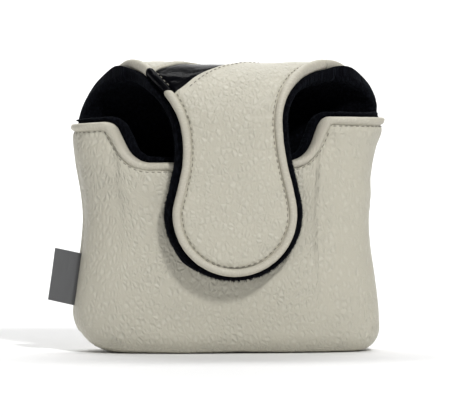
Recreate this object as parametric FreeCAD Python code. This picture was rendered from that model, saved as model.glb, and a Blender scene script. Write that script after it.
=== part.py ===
"""Mallet putter head cover: a padded, plush-lined leather pouch with a fold-over flap held shut by magnets.

The front of the cover faces -Y, +Z is up, and the origin is the middle of the flat patch that the pouch
stands on. The pouch is a front and a back panel, each of leather, foam and plush, sewn together round the
sides and the base. The back panel runs up, over a fold and down the front as the flap. The fold is an arc
about an axis along X. The flap opens at two fold lines, 45 degrees either side of the fold's top, so the
back, the bridge over the top and the flap are three bodies. Millimetres throughout.
"""

import FreeCAD
import Part

import functools
import math
import os

from FreeCAD import Vector

# ---- Overall sizes of the pouch ----
MOUTH_WIDTH = 134.0  # across the outside at the mouth's corners
WAIST_WIDTH = 124.5  # across the outside at the waist
BASE_WIDTH = 133.5  # across the outside at the lower corners
SIDE_HEIGHT = 98.5  # height of the side seams' tops, where the fold begins
FRONT_DEPTH = 23.0  # from the seam plane to the front leather at its fullest
BACK_DEPTH = 21.0  # from the seam plane to the back leather at the spring of the fold
BASE_DEPTH_LOSS = 2.0  # how much shallower each side is at the base
CORNER_RADIUS = 18.0  # of the lower corners, seen from the front
BASE_EDGE_RADIUS = 9.0  # of the base's front and back edges, seen from the side

# ---- Layers, from outside in ----
LEATHER = 1.4
FOAM = 2.6
PLUSH = 4.0
LAYER_GAP = 0.05  # between two layers that lie on each other
PANEL_GAP = 0.10  # between two panels that are sewn edge to edge

# ---- Binding and stitching ----
BINDING_WIDTH = 3.7  # of the rolled leather edge, seen from outside
BINDING_PROUD = 0.7  # how far it stands out of the leather
PLUSH_PROUD = 1.6  # how far the lining stands above the mouth's binding and out of the flap's
PLUSH_EDGE = 0.6  # how far the lining stands out of the back panel's binding
STITCH_LENGTH = 2.2
STITCH_PITCH = 3.3
THREAD_RADIUS = 0.28
STITCH_SET_IN = 1.1  # from the binding's inner edge to the stitch line
STITCH_LIFT = 0.06  # clearance of the thread from the leather

# ---- Mouth of the front panel: two shoulders and a lower notch between them ----
SHOULDER_RISE = 1.0  # height of the mouth's shoulders above the side seams' tops
NOTCH_DROP = 17.0  # depth of the notch below the shoulders
SHOULDER_ROUND = 5.5  # radius of the mouth's outer corners beside the notch
NOTCH_ROUND = 12.0  # radius of the notch's lower corners
NOTCH_TOP_LEFT = 53.0  # where the left shoulder begins to fall, from the middle
NOTCH_FOOT_LEFT = 43.0  # where the left fall meets the notch's floor
NOTCH_TOP_RIGHT = 39.0
NOTCH_FOOT_RIGHT = 32.5

# ---- Flap ----
FLAP_CENTRE = 1.5  # the flap hangs this far to the right of the middle
FLAP_NECK = 45.0  # width at the neck
FLAP_BULB = 55.0  # width of the rounded end
FLAP_TIP_HEIGHT = SIDE_HEIGHT * 31.5 / 98.5  # height of the flap's lower end
NECK_HEIGHT = SIDE_HEIGHT * 90.0 / 98.5  # height of the narrowest place
FLAP_GAP = 1.2  # from the front binding to the flap's plush
SHOULDER_INSET = 1.0  # from the side seam's top in to the foot of the back panel's shoulder
SHOULDER_RADIUS = 36.0  # of the back panel's free corners
FOLD_HALF_REAR = 56.5  # half width at the rear fold line
FOLD_FRONT_LEFT = 34.0  # from the middle to the flap's left edge at the front fold line
FOLD_FRONT_RIGHT = 30.5
FOLD_CUT_GAP = 0.3  # slit between the bodies at a fold line

# ---- Inset stripe of black patent leather ----
STRIPE_WIDTH = 25.0  # measured along the fold
STRIPE_REAR = 4.0  # its left edge at the rear fold line
STRIPE_DRIFT = 44.0  # how far its left edge drifts left from the rear fold line to the front one
STRIPE_TAPER = 2.0  # how much it has narrowed at the front fold line
STRIPE_SLOPE = 1.07  # sideways run per millimetre down the back
STRIPE_TIP_DROP = 6.0  # how far below the front fold line it leaves the flap's left edge
STRIPE_TIP_RUN = 8.0  # how far left its lower edge runs over that drop
STRIPE_EDGE_SHARE = 0.86  # share of the bridge's depth at which its left binding turns black
STRIPE_BOW = 1.5  # how far its edges bow to the right between the fold lines
STRIPE_BACK_BOW = 4.0  # the same, down the back

# ---- Magnets and label ----
MAGNET_RADIUS = 9.0
MAGNET_THICKNESS = 1.5
MAGNET_HEIGHT = SIDE_HEIGHT * 58.0 / 98.5
MAGNET_CLEARANCE = 0.15
PATCH_THICKNESS = 0.3  # of the cloth patch that holds a magnet in its foam
LABEL_LENGTH = 22.5
LABEL_REACH = 12.0
LABEL_THICKNESS = 0.45
LABEL_HEIGHT = 31.0
LABEL_SEAM_GAP = 0.35

# ---- What follows from them ----
WALL = LEATHER + FOAM + PLUSH + 2 * LAYER_GAP
FOLD_RADIUS = (BACK_DEPTH + FRONT_DEPTH + BINDING_PROUD + FLAP_GAP + WALL) / 2
FOLD_Y = BACK_DEPTH - FOLD_RADIUS
HEIGHT = SIDE_HEIGHT + FOLD_RADIUS
FOLD_ANGLE = 45.0
FLAP_FACE = FOLD_Y - FOLD_RADIUS  # Y of the flap's leather where it hangs straight
MOUTH_HEIGHT = SIDE_HEIGHT + SHOULDER_RISE
NOTCH_HEIGHT = MOUTH_HEIGHT - NOTCH_DROP
FAR = 4 * max(MOUTH_WIDTH, BASE_WIDTH, HEIGHT)
FOLD_LINE_Z = SIDE_HEIGHT + FOLD_RADIUS * math.sin(math.radians(FOLD_ANGLE))
FOLD_LINE_DY = FOLD_RADIUS * math.cos(math.radians(FOLD_ANGLE))

LEATHER_IN = LEATHER
FOAM_OUT = LEATHER_IN + LAYER_GAP
FOAM_IN = FOAM_OUT + FOAM
PLUSH_OUT = FOAM_IN + LAYER_GAP
PLUSH_IN = PLUSH_OUT + PLUSH


# ---- The pouch's form ----
def smooth(t):
    """0 before 0, 1 after 1, and an S curve between."""
    t = min(1.0, max(0.0, t))
    return t * t * (3 - 2 * t)


def fillet_loss(height, radius):
    """How far a quarter-round edge of this radius draws in, at a height above its foot."""
    if height >= radius:
        return 0.0
    return radius - math.sqrt(radius * radius - (radius - height) ** 2)


def outline_half_width(z):
    """Half the outside width at a height, without the lower corners' rounding. It flares past the mouth."""
    waist_z = 0.58 * SIDE_HEIGHT
    if z < waist_z:
        share = smooth(1 - (z - 0.12 * SIDE_HEIGHT) / (waist_z - 0.12 * SIDE_HEIGHT))
        return (WAIST_WIDTH + (BASE_WIDTH - WAIST_WIDTH) * share) / 2
    share = smooth((z - waist_z) / (SIDE_HEIGHT - waist_z))
    flare = 1.6 * max(0.0, z - SIDE_HEIGHT - SHOULDER_RISE)
    return (WAIST_WIDTH + (MOUTH_WIDTH - WAIST_WIDTH) * share) / 2 + flare


def half_width(z, inset):
    radius = max(CORNER_RADIUS - inset, 1.0)
    return outline_half_width(z) - inset - fillet_loss(z - inset, radius)


def front_depth(z, inset):
    radius = max(BASE_EDGE_RADIUS - inset, 1.0)
    full = FRONT_DEPTH - BASE_DEPTH_LOSS * (1 - smooth(z / (0.4 * SIDE_HEIGHT)))
    return full - inset - fillet_loss(z - inset, radius)


def back_depth(z, inset):
    """Depth behind the seam plane. Above the side seams it follows the fold's arc."""
    if z > SIDE_HEIGHT:
        r = FOLD_RADIUS - inset
        return FOLD_Y + math.sqrt(max(r * r - (z - SIDE_HEIGHT) ** 2, 1.0))
    radius = max(BASE_EDGE_RADIUS - inset, 1.0)
    belly = BASE_DEPTH_LOSS * math.sin(math.pi * z / SIDE_HEIGHT)
    return BACK_DEPTH + belly - inset - fillet_loss(z - inset, radius)


def fullness(z):
    """Exponent of the cross section: an oval low down, nearly straight across the fold."""
    return 2.8 + 4.2 * smooth((z - 0.9 * SIDE_HEIGHT) / (0.25 * SIDE_HEIGHT))


def section_point(z, inset, angle):
    """A point of the closed cross section. Angle 0 is the right seam, 90 the back's middle."""
    n = fullness(z)
    c, s = math.cos(angle), math.sin(angle)
    depth = back_depth(z, inset) if s >= 0 else front_depth(z, inset)
    x = half_width(z, inset) * math.copysign(abs(c) ** (2 / n), c)
    return Vector(x, depth * math.copysign(abs(s) ** (2 / n), s), z)


SECTION_STEPS = 40
BASE_STATIONS = (0, 15, 30, 48, 68, 90)  # degrees round the lower corner
FOLD_STATIONS = (0, 12, 24, 36, 48)  # degrees round the fold, past the rear fold line
BODY_STATIONS = (0.28, 0.42, 0.58, 0.72, 0.86, 0.95)  # shares of the side height


@functools.lru_cache(maxsize=None)
def envelope(inset):
    """The pouch's whole form, this far inside its outer surface, as one solid."""
    radius = CORNER_RADIUS - inset
    heights = [inset + radius * (1 - math.cos(math.radians(a))) for a in BASE_STATIONS]
    heights += [share * SIDE_HEIGHT for share in BODY_STATIONS]
    arc = FOLD_RADIUS - inset
    heights += [SIDE_HEIGHT + arc * math.sin(math.radians(a)) for a in FOLD_STATIONS]
    wires = []
    for z in heights:
        points = [section_point(z, inset, 2 * math.pi * k / SECTION_STEPS) for k in range(SECTION_STEPS)]
        curve = Part.BSplineCurve()
        curve.interpolate(Points=points, PeriodicFlag=True)
        wires.append(Part.Wire([curve.toShape()]))
    return Part.makeLoft(wires, True, False)


# ---- Outlines in the XZ plane ----
def rounded_path(corners, radii, offset=0.0):
    """Edges of a path of straight runs and tangent arcs, moved to its left by offset. Ends have no radius."""
    moved = []
    for k, (x, z) in enumerate(corners):
        before = corners[k - 1] if k else None
        after = corners[k + 1] if k + 1 < len(corners) else None
        normals = []
        for a, b in ((before, corners[k]), (corners[k], after)):
            if a is not None and b is not None:
                dx, dz = b[0] - a[0], b[1] - a[1]
                length = math.hypot(dx, dz)
                normals.append((-dz / length, dx / length))
        nx = sum(n[0] for n in normals)
        nz = sum(n[1] for n in normals)
        scale = len(normals) / (nx * nx + nz * nz)
        moved.append((x + offset * nx * scale, z + offset * nz * scale))
    edges = []
    start = Vector(moved[0][0], 0, moved[0][1])
    for k in range(1, len(moved) - 1):
        here = Vector(moved[k][0], 0, moved[k][1])
        back = (Vector(moved[k - 1][0], 0, moved[k - 1][1]) - here).normalize()
        on = (Vector(moved[k + 1][0], 0, moved[k + 1][1]) - here).normalize()
        turn = back.getAngle(on)
        left_turn = back.x * on.z - back.z * on.x < 0
        radius = radii[k - 1] + (-offset if left_turn else offset)
        reach = radius / math.tan(turn / 2)
        first, last = here + back * reach, here + on * reach
        inward = (back + on).normalize()
        middle = here + inward * (radius / math.sin(turn / 2) - radius)
        edges.append(Part.LineSegment(start, first).toShape())
        edges.append(Part.Arc(first, middle, last).toShape())
        start = last
    edges.append(Part.LineSegment(start, Vector(moved[-1][0], 0, moved[-1][1])).toShape())
    return edges


def prism(edges, y_low, y_high):
    """The closed outline made by these edges and straight closing lines, extruded along Y."""
    wire = Part.Wire(Part.__sortEdges__(edges))
    face = Part.Face(wire)
    face.translate(Vector(0, y_low, 0))
    return face.extrude(Vector(0, y_high - y_low, 0))


def line(ax, az, bx, bz):
    return Part.LineSegment(Vector(ax, 0, az), Vector(bx, 0, bz)).toShape()


def slab(x_low, x_high, y_low, y_high, z_low, z_high):
    return Part.makeBox(x_high - x_low, y_high - y_low, z_high - z_low, Vector(x_low, y_low, z_low))


def mouth_line(rise):
    """The mouth's edge seen from the front, from left to right, raised by rise."""
    corners = [
        (-FAR, MOUTH_HEIGHT),
        (-NOTCH_TOP_LEFT, MOUTH_HEIGHT),
        (-NOTCH_FOOT_LEFT, NOTCH_HEIGHT),
        (NOTCH_FOOT_RIGHT, NOTCH_HEIGHT),
        (NOTCH_TOP_RIGHT, MOUTH_HEIGHT),
        (FAR, MOUTH_HEIGHT),
    ]
    return rounded_path(corners, (SHOULDER_ROUND, NOTCH_ROUND, NOTCH_ROUND, SHOULDER_ROUND), rise)


def below_mouth(rise):
    """Everything in front of the seam plane that is below the mouth's line."""
    edges = mouth_line(rise)
    top = MOUTH_HEIGHT + rise
    edges += [line(FAR, top, FAR, -FAR), line(FAR, -FAR, -FAR, -FAR), line(-FAR, -FAR, -FAR, top)]
    return prism(edges, -FAR, -PANEL_GAP / 2)


def behind_seam():
    return slab(-FAR, FAR, PANEL_GAP / 2, FAR, 0, FAR)


def bowed(ax, az, bx, bz, bow):
    """An arc from a to b whose middle stands to the left of the straight line by bow."""
    a, b = Vector(ax, 0, az), Vector(bx, 0, bz)
    along = (b - a).normalize()
    middle = (a + b) * 0.5 + Vector(-along.z, 0, along.x) * bow
    return Part.Arc(a, middle, b).toShape()


def circle_arc(cx, cz, radius, from_angle, to_angle):
    """An arc in the XZ plane about (cx, cz), angles in radians from +X towards +Z."""
    points = []
    for angle in (from_angle, (from_angle + to_angle) / 2, to_angle):
        points.append(Vector(cx + radius * math.cos(angle), 0, cz + radius * math.sin(angle)))
    return Part.Arc(*points).toShape()


def shoulder_region(inset):
    """The back panel's outline: straight sides up to the mouth, then a rounded shoulder up to the fold."""
    foot_x, foot_z = MOUTH_WIDTH / 2 - SHOULDER_INSET, MOUTH_HEIGHT
    top_x, top_z = FOLD_HALF_REAR, FOLD_LINE_Z
    half_chord = math.hypot(top_x - foot_x, top_z - foot_z) / 2
    depth = math.sqrt(SHOULDER_RADIUS**2 - half_chord**2)
    along = ((top_x - foot_x) / (2 * half_chord), (top_z - foot_z) / (2 * half_chord))
    cx = (foot_x + top_x) / 2 - along[1] * depth
    cz = (foot_z + top_z) / 2 + along[0] * depth
    radius = SHOULDER_RADIUS - inset
    start = math.asin((foot_z - cz) / radius)
    end = math.atan2(top_z - cz, top_x - cx)
    edges = []
    for side in (1, -1):
        arc = circle_arc(cx, cz, radius, start, end)
        low, high = arc.Vertexes[0].Point, arc.Vertexes[-1].Point
        half = [line(FAR, -FAR, FAR, low.z), line(FAR, low.z, low.x, low.z), arc]
        half.append(line(high.x, high.z, high.x, FAR))
        for edge in half:
            edges.append(edge if side > 0 else edge.mirror(Vector(0, 0, 0), Vector(1, 0, 0)))
    top_x = edges[3].Vertexes[-1].Point.x
    edges += [line(top_x, FAR, -top_x, FAR), line(-FAR, -FAR, FAR, -FAR)]
    return prism(edges, 0, FAR)


# ---- The fold and the flap ----
def fold_point(inset, angle):
    r = FOLD_RADIUS - inset
    a = math.radians(angle)
    return Vector(-FAR, FOLD_Y + r * math.cos(a), SIDE_HEIGHT + r * math.sin(a))


def ribbon(outer, inner, start, end, hang=False):
    """A strip of the fold between two insets and two angles, across X. Angle 0 is the back, 180 the front.
    With hang it runs on straight down from its end."""
    middle = (start + end) / 2
    out = [fold_point(outer, a) for a in (start, middle, end)]
    back = [fold_point(inner, a) for a in (end, middle, start)]
    edges = [Part.Arc(*out).toShape(), Part.Arc(*back).toShape()]
    edges.append(Part.LineSegment(back[2], out[0]).toShape())
    if hang:
        low = [Vector(p.x, p.y, 0) for p in (out[2], back[0])]
        path = [out[2], low[0], low[1], back[0]]
    else:
        path = [out[2], back[0]]
    edges += [Part.LineSegment(a, b).toShape() for a, b in zip(path, path[1:])]
    wire = Part.Wire(Part.__sortEdges__(edges))
    return Part.Face(wire).extrude(Vector(2 * FAR, 0, 0))


SLIT = math.degrees(FOLD_CUT_GAP / 2 / FOLD_RADIUS)


def below_rear_fold():
    """The side of the rear fold line that belongs to the back panel."""
    wedge = slab(-FAR, FAR, -2 * FAR, 2 * FAR, -2 * FAR, 0)
    wedge.rotate(Vector(0, 0, 0), Vector(1, 0, 0), FOLD_ANGLE - SLIT)
    wedge.translate(Vector(0, FOLD_Y, SIDE_HEIGHT))
    return wedge


def bridge_ribbon(outer, inner):
    return ribbon(outer, inner, FOLD_ANGLE + SLIT, 180 - FOLD_ANGLE - SLIT)


def flap_ribbon(outer, inner):
    return ribbon(outer, inner, 180 - FOLD_ANGLE + SLIT, 180, hang=True)


def plan_prism(edges):
    """An outline drawn with Y in place of Z, extruded upwards."""
    solid = prism(edges, -FAR, 0)
    solid.rotate(Vector(0, 0, 0), Vector(1, 0, 0), -90)
    return solid


def bridge_outline(inset):
    """Seen from above, the bridge narrows in a straight taper from the rear fold line to the front one."""
    rear, front = FOLD_Y + FOLD_LINE_DY, FOLD_Y - FOLD_LINE_DY
    run = rear - front
    corners = []
    for side, front_half in ((1, FOLD_FRONT_RIGHT), (-1, FOLD_FRONT_LEFT)):
        taper = (FOLD_HALF_REAR - front_half) / run
        across = inset * math.sqrt(1 + taper * taper)
        ends = [(FOLD_HALF_REAR + taper * run / 4 - across, rear + run / 4)]
        ends.append((front_half - taper * run / 4 - across, front - run / 4))
        corners += [(side * x, y) for x, y in (ends if side > 0 else reversed(ends))]
    corners.append(corners[0])
    return plan_prism([line(*a, *b) for a, b in zip(corners, corners[1:])])


def flap_line(inset):
    """The flap's edge seen from the front: concave sides from the fold line past the neck, and a round bulb.
    The last two edges close it above the fold line."""
    bulb = FLAP_BULB / 2
    neck = FLAP_NECK / 2
    bulb_z = FLAP_TIP_HEIGHT + bulb
    rise = NECK_HEIGHT - bulb_z
    lower = (neck**2 + rise**2 - bulb**2) / (2 * (bulb - neck))
    edges = []
    tops, joins = [], []
    for side, fold_x in ((1, FOLD_FRONT_RIGHT), (-1, FOLD_FRONT_LEFT)):
        spread = fold_x - (side * FLAP_CENTRE + neck)
        climb = FOLD_LINE_Z - NECK_HEIGHT
        upper = (spread**2 + climb**2) / (2 * spread)
        neck_x = FLAP_CENTRE + side * neck
        top_x = neck_x + side * (upper - math.sqrt((upper + inset) ** 2 - climb**2))
        upper_end = math.asin(climb / (upper + inset))
        lower_end = -math.atan2(rise, neck + lower)
        pair = [
            circle_arc(0, NECK_HEIGHT, upper + inset, upper_end, 0),
            circle_arc(0, NECK_HEIGHT, lower + inset, 0, lower_end),
        ]
        for edge, radius in zip(pair, (upper, lower)):
            if side > 0:
                edge = edge.mirror(Vector(0, 0, 0), Vector(1, 0, 0))
            edge.translate(Vector(neck_x + side * radius, 0, 0))
            edges.append(edge)
        tops.append(top_x)
        joins.append(math.atan2(rise, neck + lower))
    edges.append(circle_arc(FLAP_CENTRE, bulb_z, bulb - inset, joins[0], -math.pi - joins[1]))
    above = FOLD_LINE_Z + FOLD_RADIUS
    edges += [line(x, FOLD_LINE_Z, x, above) for x in tops]
    edges.append(line(tops[0], above, tops[1], above))
    return edges


def flap_outline(inset):
    return prism(flap_line(inset), -FAR, FOLD_Y)


# ---- The stripe ----
def stripe_on_bridge(grow):
    rear, front = FOLD_Y + FOLD_LINE_DY, FOLD_Y - FOLD_LINE_DY
    left = (STRIPE_REAR - grow, STRIPE_REAR - STRIPE_DRIFT - grow)
    right = (left[0] + STRIPE_WIDTH + 2 * grow, left[1] + STRIPE_WIDTH - STRIPE_TAPER + 2 * grow)
    edges = [
        bowed(left[0], rear, left[1], front, STRIPE_BOW / 2),
        line(left[1], front, right[1], front),
        bowed(right[1], front, right[0], rear, -STRIPE_BOW),
        line(right[0], rear, left[0], rear),
    ]
    return plan_prism(edges)


def stripe_on_back(grow):
    top = FOLD_LINE_Z
    run = STRIPE_SLOPE * top
    left = STRIPE_REAR - grow
    right = left + STRIPE_WIDTH + 2 * grow
    edges = [
        bowed(left, top, left + run, 0, STRIPE_BACK_BOW),
        line(left + run, 0, right + run, 0),
        bowed(right + run, 0, right, top, -STRIPE_BACK_BOW),
        line(right, top, left, top),
    ]
    return prism(edges, 0, FAR)


def stripe_on_flap(grow):
    right = STRIPE_REAR - STRIPE_DRIFT + STRIPE_WIDTH - STRIPE_TAPER + grow
    foot = FOLD_LINE_Z - STRIPE_TIP_DROP - grow
    far = -FAR
    corners = [(right, FAR), (right, FOLD_LINE_Z), (right - STRIPE_TIP_RUN, foot), (far, foot), (far, FAR)]
    corners.append(corners[0])
    return prism([line(*a, *b) for a, b in zip(corners, corners[1:])], -FAR, 0)


# ---- Building the pieces ----
SPECK = 0.3  # cubic millimetres
LINED_INSET = BINDING_WIDTH + PANEL_GAP  # leather and foam stop here, against the binding
PADDED_LAYERS = ((0.0, LEATHER_IN), (FOAM_OUT, FOAM_IN), (PLUSH_OUT, PLUSH_IN), (-BINDING_PROUD, FOAM_IN))


@functools.lru_cache(maxsize=None)
def shell(outer, inner):
    return envelope(outer).cut(envelope(inner))


def solids_of(shape):
    """The shape's solids, without the specks that a cut can leave."""
    found = [s for s in shape.Solids if s.Volume > SPECK]
    return found[0] if len(found) == 1 else Part.makeCompound(found)


def band(region, inset_out, inset_in):
    return region(inset_out).cut(region(inset_in))


def halves(shape):
    """The parts of a shape left and right of the middle plane."""
    left = slab(-FAR, 0, -FAR, FAR, -FAR, FAR)
    return shape.common(left), shape.cut(left)


def magnet_hole(y_low, y_high):
    radius = MAGNET_RADIUS + MAGNET_CLEARANCE
    return Part.makeCylinder(radius, y_high - y_low, Vector(FLAP_CENTRE, y_low, MAGNET_HEIGHT), Vector(0, 1, 0))


def magnet_and_patch(leather_side, direction):
    """A disc magnet lying towards the leather, and the cloth patch behind it. direction is +1 or -1 along Y."""
    axis = Vector(0, direction, 0)
    stack = FOAM - 2 * MAGNET_CLEARANCE / 3
    at = Vector(FLAP_CENTRE, leather_side + direction * MAGNET_CLEARANCE / 3, MAGNET_HEIGHT)
    magnet = Part.makeCylinder(MAGNET_RADIUS, MAGNET_THICKNESS, at, axis)
    behind = at + axis * (stack - PATCH_THICKNESS)
    patch = Part.makeCylinder(MAGNET_RADIUS, PATCH_THICKNESS, behind, axis)
    return magnet, patch


def front_pieces():
    leather, foam, plush, binding = (shell(*layer) for layer in PADDED_LAYERS)
    bound = below_mouth(-LINED_INSET).common(slab(-FAR, FAR, -FAR, FAR, 0, FAR))
    foam_face = -(FRONT_DEPTH - FOAM_OUT)
    magnet, patch = magnet_and_patch(foam_face, 1)
    foam_pad = foam.common(bound).cut(magnet_hole(-FAR, 0))
    return {
        "front_leather_panel": leather.common(bound),
        "front_foam_pad": foam_pad,
        "front_plush_lining": plush.common(below_mouth(PLUSH_PROUD)),
        "front_rim_binding": binding.common(below_mouth(0).cut(below_mouth(-BINDING_WIDTH))),
        "front_magnet": magnet,
        "front_magnet_patch": patch,
    }


def back_pieces():
    leather, foam, plush, binding = (shell(*layer) for layer in PADDED_LAYERS)
    kept = behind_seam().common(below_rear_fold())
    bound = kept.common(shoulder_region(LINED_INSET))
    panel = leather.common(bound)
    stripe = panel.common(stripe_on_back(0))
    cream = panel.cut(stripe_on_back(PANEL_GAP)).Solids
    cream.sort(key=lambda solid: solid.CenterOfMass.x)
    edge = binding.common(kept).common(band(shoulder_region, 0, BINDING_WIDTH))
    edge_left, edge_right = halves(edge)
    return {
        "back_leather_left": cream[0],
        "back_leather_right": Part.makeCompound(cream[1:]),
        "back_stripe": stripe,
        "back_foam_pad": foam.common(bound),
        "back_plush_lining": plush.common(kept).common(shoulder_region(-PLUSH_EDGE)),
        "shoulder_binding_left": edge_left,
        "shoulder_binding_right": edge_right,
    }


def bridge_pieces():
    leather, foam, plush, binding = (bridge_ribbon(*layer) for layer in PADDED_LAYERS)
    bound = bridge_outline(LINED_INSET)
    panel = leather.common(bound)
    cream = panel.cut(stripe_on_bridge(PANEL_GAP)).Solids
    cream.sort(key=lambda solid: solid.CenterOfMass.x)
    edge_left, edge_right = halves(binding.common(band(bridge_outline, 0, BINDING_WIDTH)))
    black_from = FOLD_Y + FOLD_LINE_DY * (1 - 2 * STRIPE_EDGE_SHARE)
    rear_side = slab(-FAR, FAR, black_from + PANEL_GAP, FAR, 0, FAR)
    front_side = slab(-FAR, FAR, -FAR, black_from, 0, FAR)
    return {
        "bridge_leather_corner": cream[0],
        "bridge_leather_main": Part.makeCompound(cream[1:]),
        "bridge_stripe": panel.common(stripe_on_bridge(0)),
        "bridge_foam_pad": foam.common(bound),
        "bridge_plush_lining": plush.common(bridge_outline(-PLUSH_EDGE)),
        "bridge_binding_left": edge_left.common(rear_side),
        "bridge_stripe_binding": edge_left.common(front_side),
        "bridge_binding_right": edge_right,
    }


def flap_pieces():
    leather, foam, plush, binding = (flap_ribbon(*layer) for layer in PADDED_LAYERS)
    bound = flap_outline(LINED_INSET)
    panel = leather.common(bound)
    edge = binding.common(band(flap_outline, 0, BINDING_WIDTH))
    tip_z = FOLD_LINE_Z - STRIPE_TIP_DROP
    black = slab(-FAR, 0, -FAR, FAR, tip_z, FAR)
    cream = edge.cut(slab(-FAR, 0, -FAR, FAR, tip_z - PANEL_GAP, FAR))
    magnet, patch = magnet_and_patch(FLAP_FACE + FOAM_OUT, 1)
    return {
        "flap_leather_panel": panel.cut(stripe_on_flap(PANEL_GAP)),
        "flap_stripe_tip": panel.common(stripe_on_flap(0)),
        "flap_foam_pad": foam.common(bound).cut(magnet_hole(-FAR, 0)),
        "flap_plush_lining": plush.common(flap_outline(-PLUSH_PROUD)),
        "flap_binding": cream,
        "flap_stripe_binding": edge.common(black),
        "flap_magnet": magnet,
        "flap_magnet_patch": patch,
    }


def thread_row(edges, surface):
    """Straight stitches along a seam drawn in the XZ plane. surface gives Y for x and z, and bulges towards
    -Y, so each stitch touches it with its middle."""
    wire = Part.Wire(Part.__sortEdges__(edges))
    marks = wire.discretize(Distance=STITCH_PITCH)
    stitches = []
    for a, b in zip(marks, marks[1:]):
        start = a + (b - a) * (0.5 - STITCH_LENGTH / STITCH_PITCH / 2)
        end = a + (b - a) * (0.5 + STITCH_LENGTH / STITCH_PITCH / 2)
        ends = [Vector(p.x, surface(p.x, p.z), p.z) for p in (start, end)]
        middle = (start + end) * 0.5
        lift = Vector(0, surface(middle.x, middle.z) - (ends[0].y + ends[1].y) / 2, 0)
        along = ends[1] - ends[0]
        stitches.append(Part.makeCylinder(THREAD_RADIUS, along.Length, ends[0] + lift, along))
    return Part.makeCompound(stitches)


def front_surface(x, z):
    """Y of a thread's middle as it lies on the front leather."""
    probe = Part.makeLine(Vector(x, -FAR, z), Vector(x, 0, z))
    return probe.common(envelope(-(THREAD_RADIUS + STITCH_LIFT))).BoundBox.YMin


def flap_surface(x, z):
    """Y of a thread's middle as it lies on the flap's leather."""
    r = FOLD_RADIUS + THREAD_RADIUS + STITCH_LIFT
    rise = max(0.0, z - SIDE_HEIGHT)
    return FOLD_Y - math.sqrt(r * r - rise * rise)


def stitching_pieces():
    inset = LINED_INSET + STITCH_SET_IN
    reach = MOUTH_WIDTH / 2 - CORNER_RADIUS / 2
    between = slab(-reach, reach, -FAR, FAR, 0, FAR)
    mouth = [e for edge in mouth_line(-inset) for e in edge.common(between).Edges]
    flap = flap_line(inset)[:5]
    return {
        "front_rim_stitching": thread_row(mouth, front_surface),
        "flap_stitching": thread_row(flap, flap_surface),
    }


def label_seam():
    """Foot, top and lean of the left side's seam over the label's length."""
    half = LABEL_LENGTH / 2
    foot = Vector(-half_width(LABEL_HEIGHT - half, 0), 0, LABEL_HEIGHT - half)
    top = Vector(-half_width(LABEL_HEIGHT + half, 0), 0, LABEL_HEIGHT + half)
    return foot, top, (top - foot).normalize()


def label_piece():
    """A folded woven tab whose root runs along the left side seam."""
    foot, top, along = label_seam()
    middle = (foot + top) * 0.5
    out = Vector(-along.z, 0, along.x)
    bulge = max(
        (Vector(-half_width(z, 0), 0, z) - middle).dot(out)
        for z in (foot.z + (top.z - foot.z) * k / 8 for k in range(9))
    )
    root = middle + out * (bulge + LABEL_SEAM_GAP)
    corners = [root - along * (LABEL_LENGTH / 2), root + along * (LABEL_LENGTH / 2)]
    corners += [corners[1] + out * LABEL_REACH, corners[0] + out * LABEL_REACH]
    face = Part.Face(Part.makePolygon(corners + corners[:1]))
    face.translate(Vector(0, -LABEL_THICKNESS / 2, 0))
    return {"side_label": face.extrude(Vector(0, LABEL_THICKNESS, 0))}


def main():
    os.makedirs("parts", exist_ok=True)
    pieces = {}
    for group in (front_pieces, back_pieces, bridge_pieces, flap_pieces, stitching_pieces, label_piece):
        pieces.update(group())
    for name, shape in pieces.items():
        solid = solids_of(shape)
        if not solid.isValid():
            print("invalid:", name)
        solid.exportStep(f"parts/{name}.step")


main()
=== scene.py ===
"""The looks of the putter head cover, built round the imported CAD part.

Lengths are in millimetres in the part's own frame until a mesh is made, and metres from there on. The
cover's soft pieces are grids. The pouch's grids follow its superellipse sections. The back, the fold and the
flap are one sheet, drawn flat as x and v, where v is the way along the sheet from the top of the fold towards
the tip.
"""

import bmesh
import bpy
import math

import numpy as np
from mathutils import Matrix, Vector, noise


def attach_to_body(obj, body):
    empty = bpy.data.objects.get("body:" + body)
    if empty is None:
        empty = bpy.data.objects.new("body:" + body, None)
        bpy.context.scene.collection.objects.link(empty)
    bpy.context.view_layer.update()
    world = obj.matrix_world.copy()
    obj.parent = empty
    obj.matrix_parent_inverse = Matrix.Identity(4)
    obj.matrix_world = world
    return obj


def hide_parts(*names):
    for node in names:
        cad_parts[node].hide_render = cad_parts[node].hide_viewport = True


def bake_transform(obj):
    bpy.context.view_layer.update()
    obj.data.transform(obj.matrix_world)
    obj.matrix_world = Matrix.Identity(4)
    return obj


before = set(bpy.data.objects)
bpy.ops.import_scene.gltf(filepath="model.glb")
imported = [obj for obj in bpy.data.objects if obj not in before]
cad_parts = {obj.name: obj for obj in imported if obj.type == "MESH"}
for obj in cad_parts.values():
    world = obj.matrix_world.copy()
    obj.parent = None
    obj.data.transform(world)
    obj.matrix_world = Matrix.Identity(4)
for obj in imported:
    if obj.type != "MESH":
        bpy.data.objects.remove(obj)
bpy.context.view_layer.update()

MM = 0.001

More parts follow.
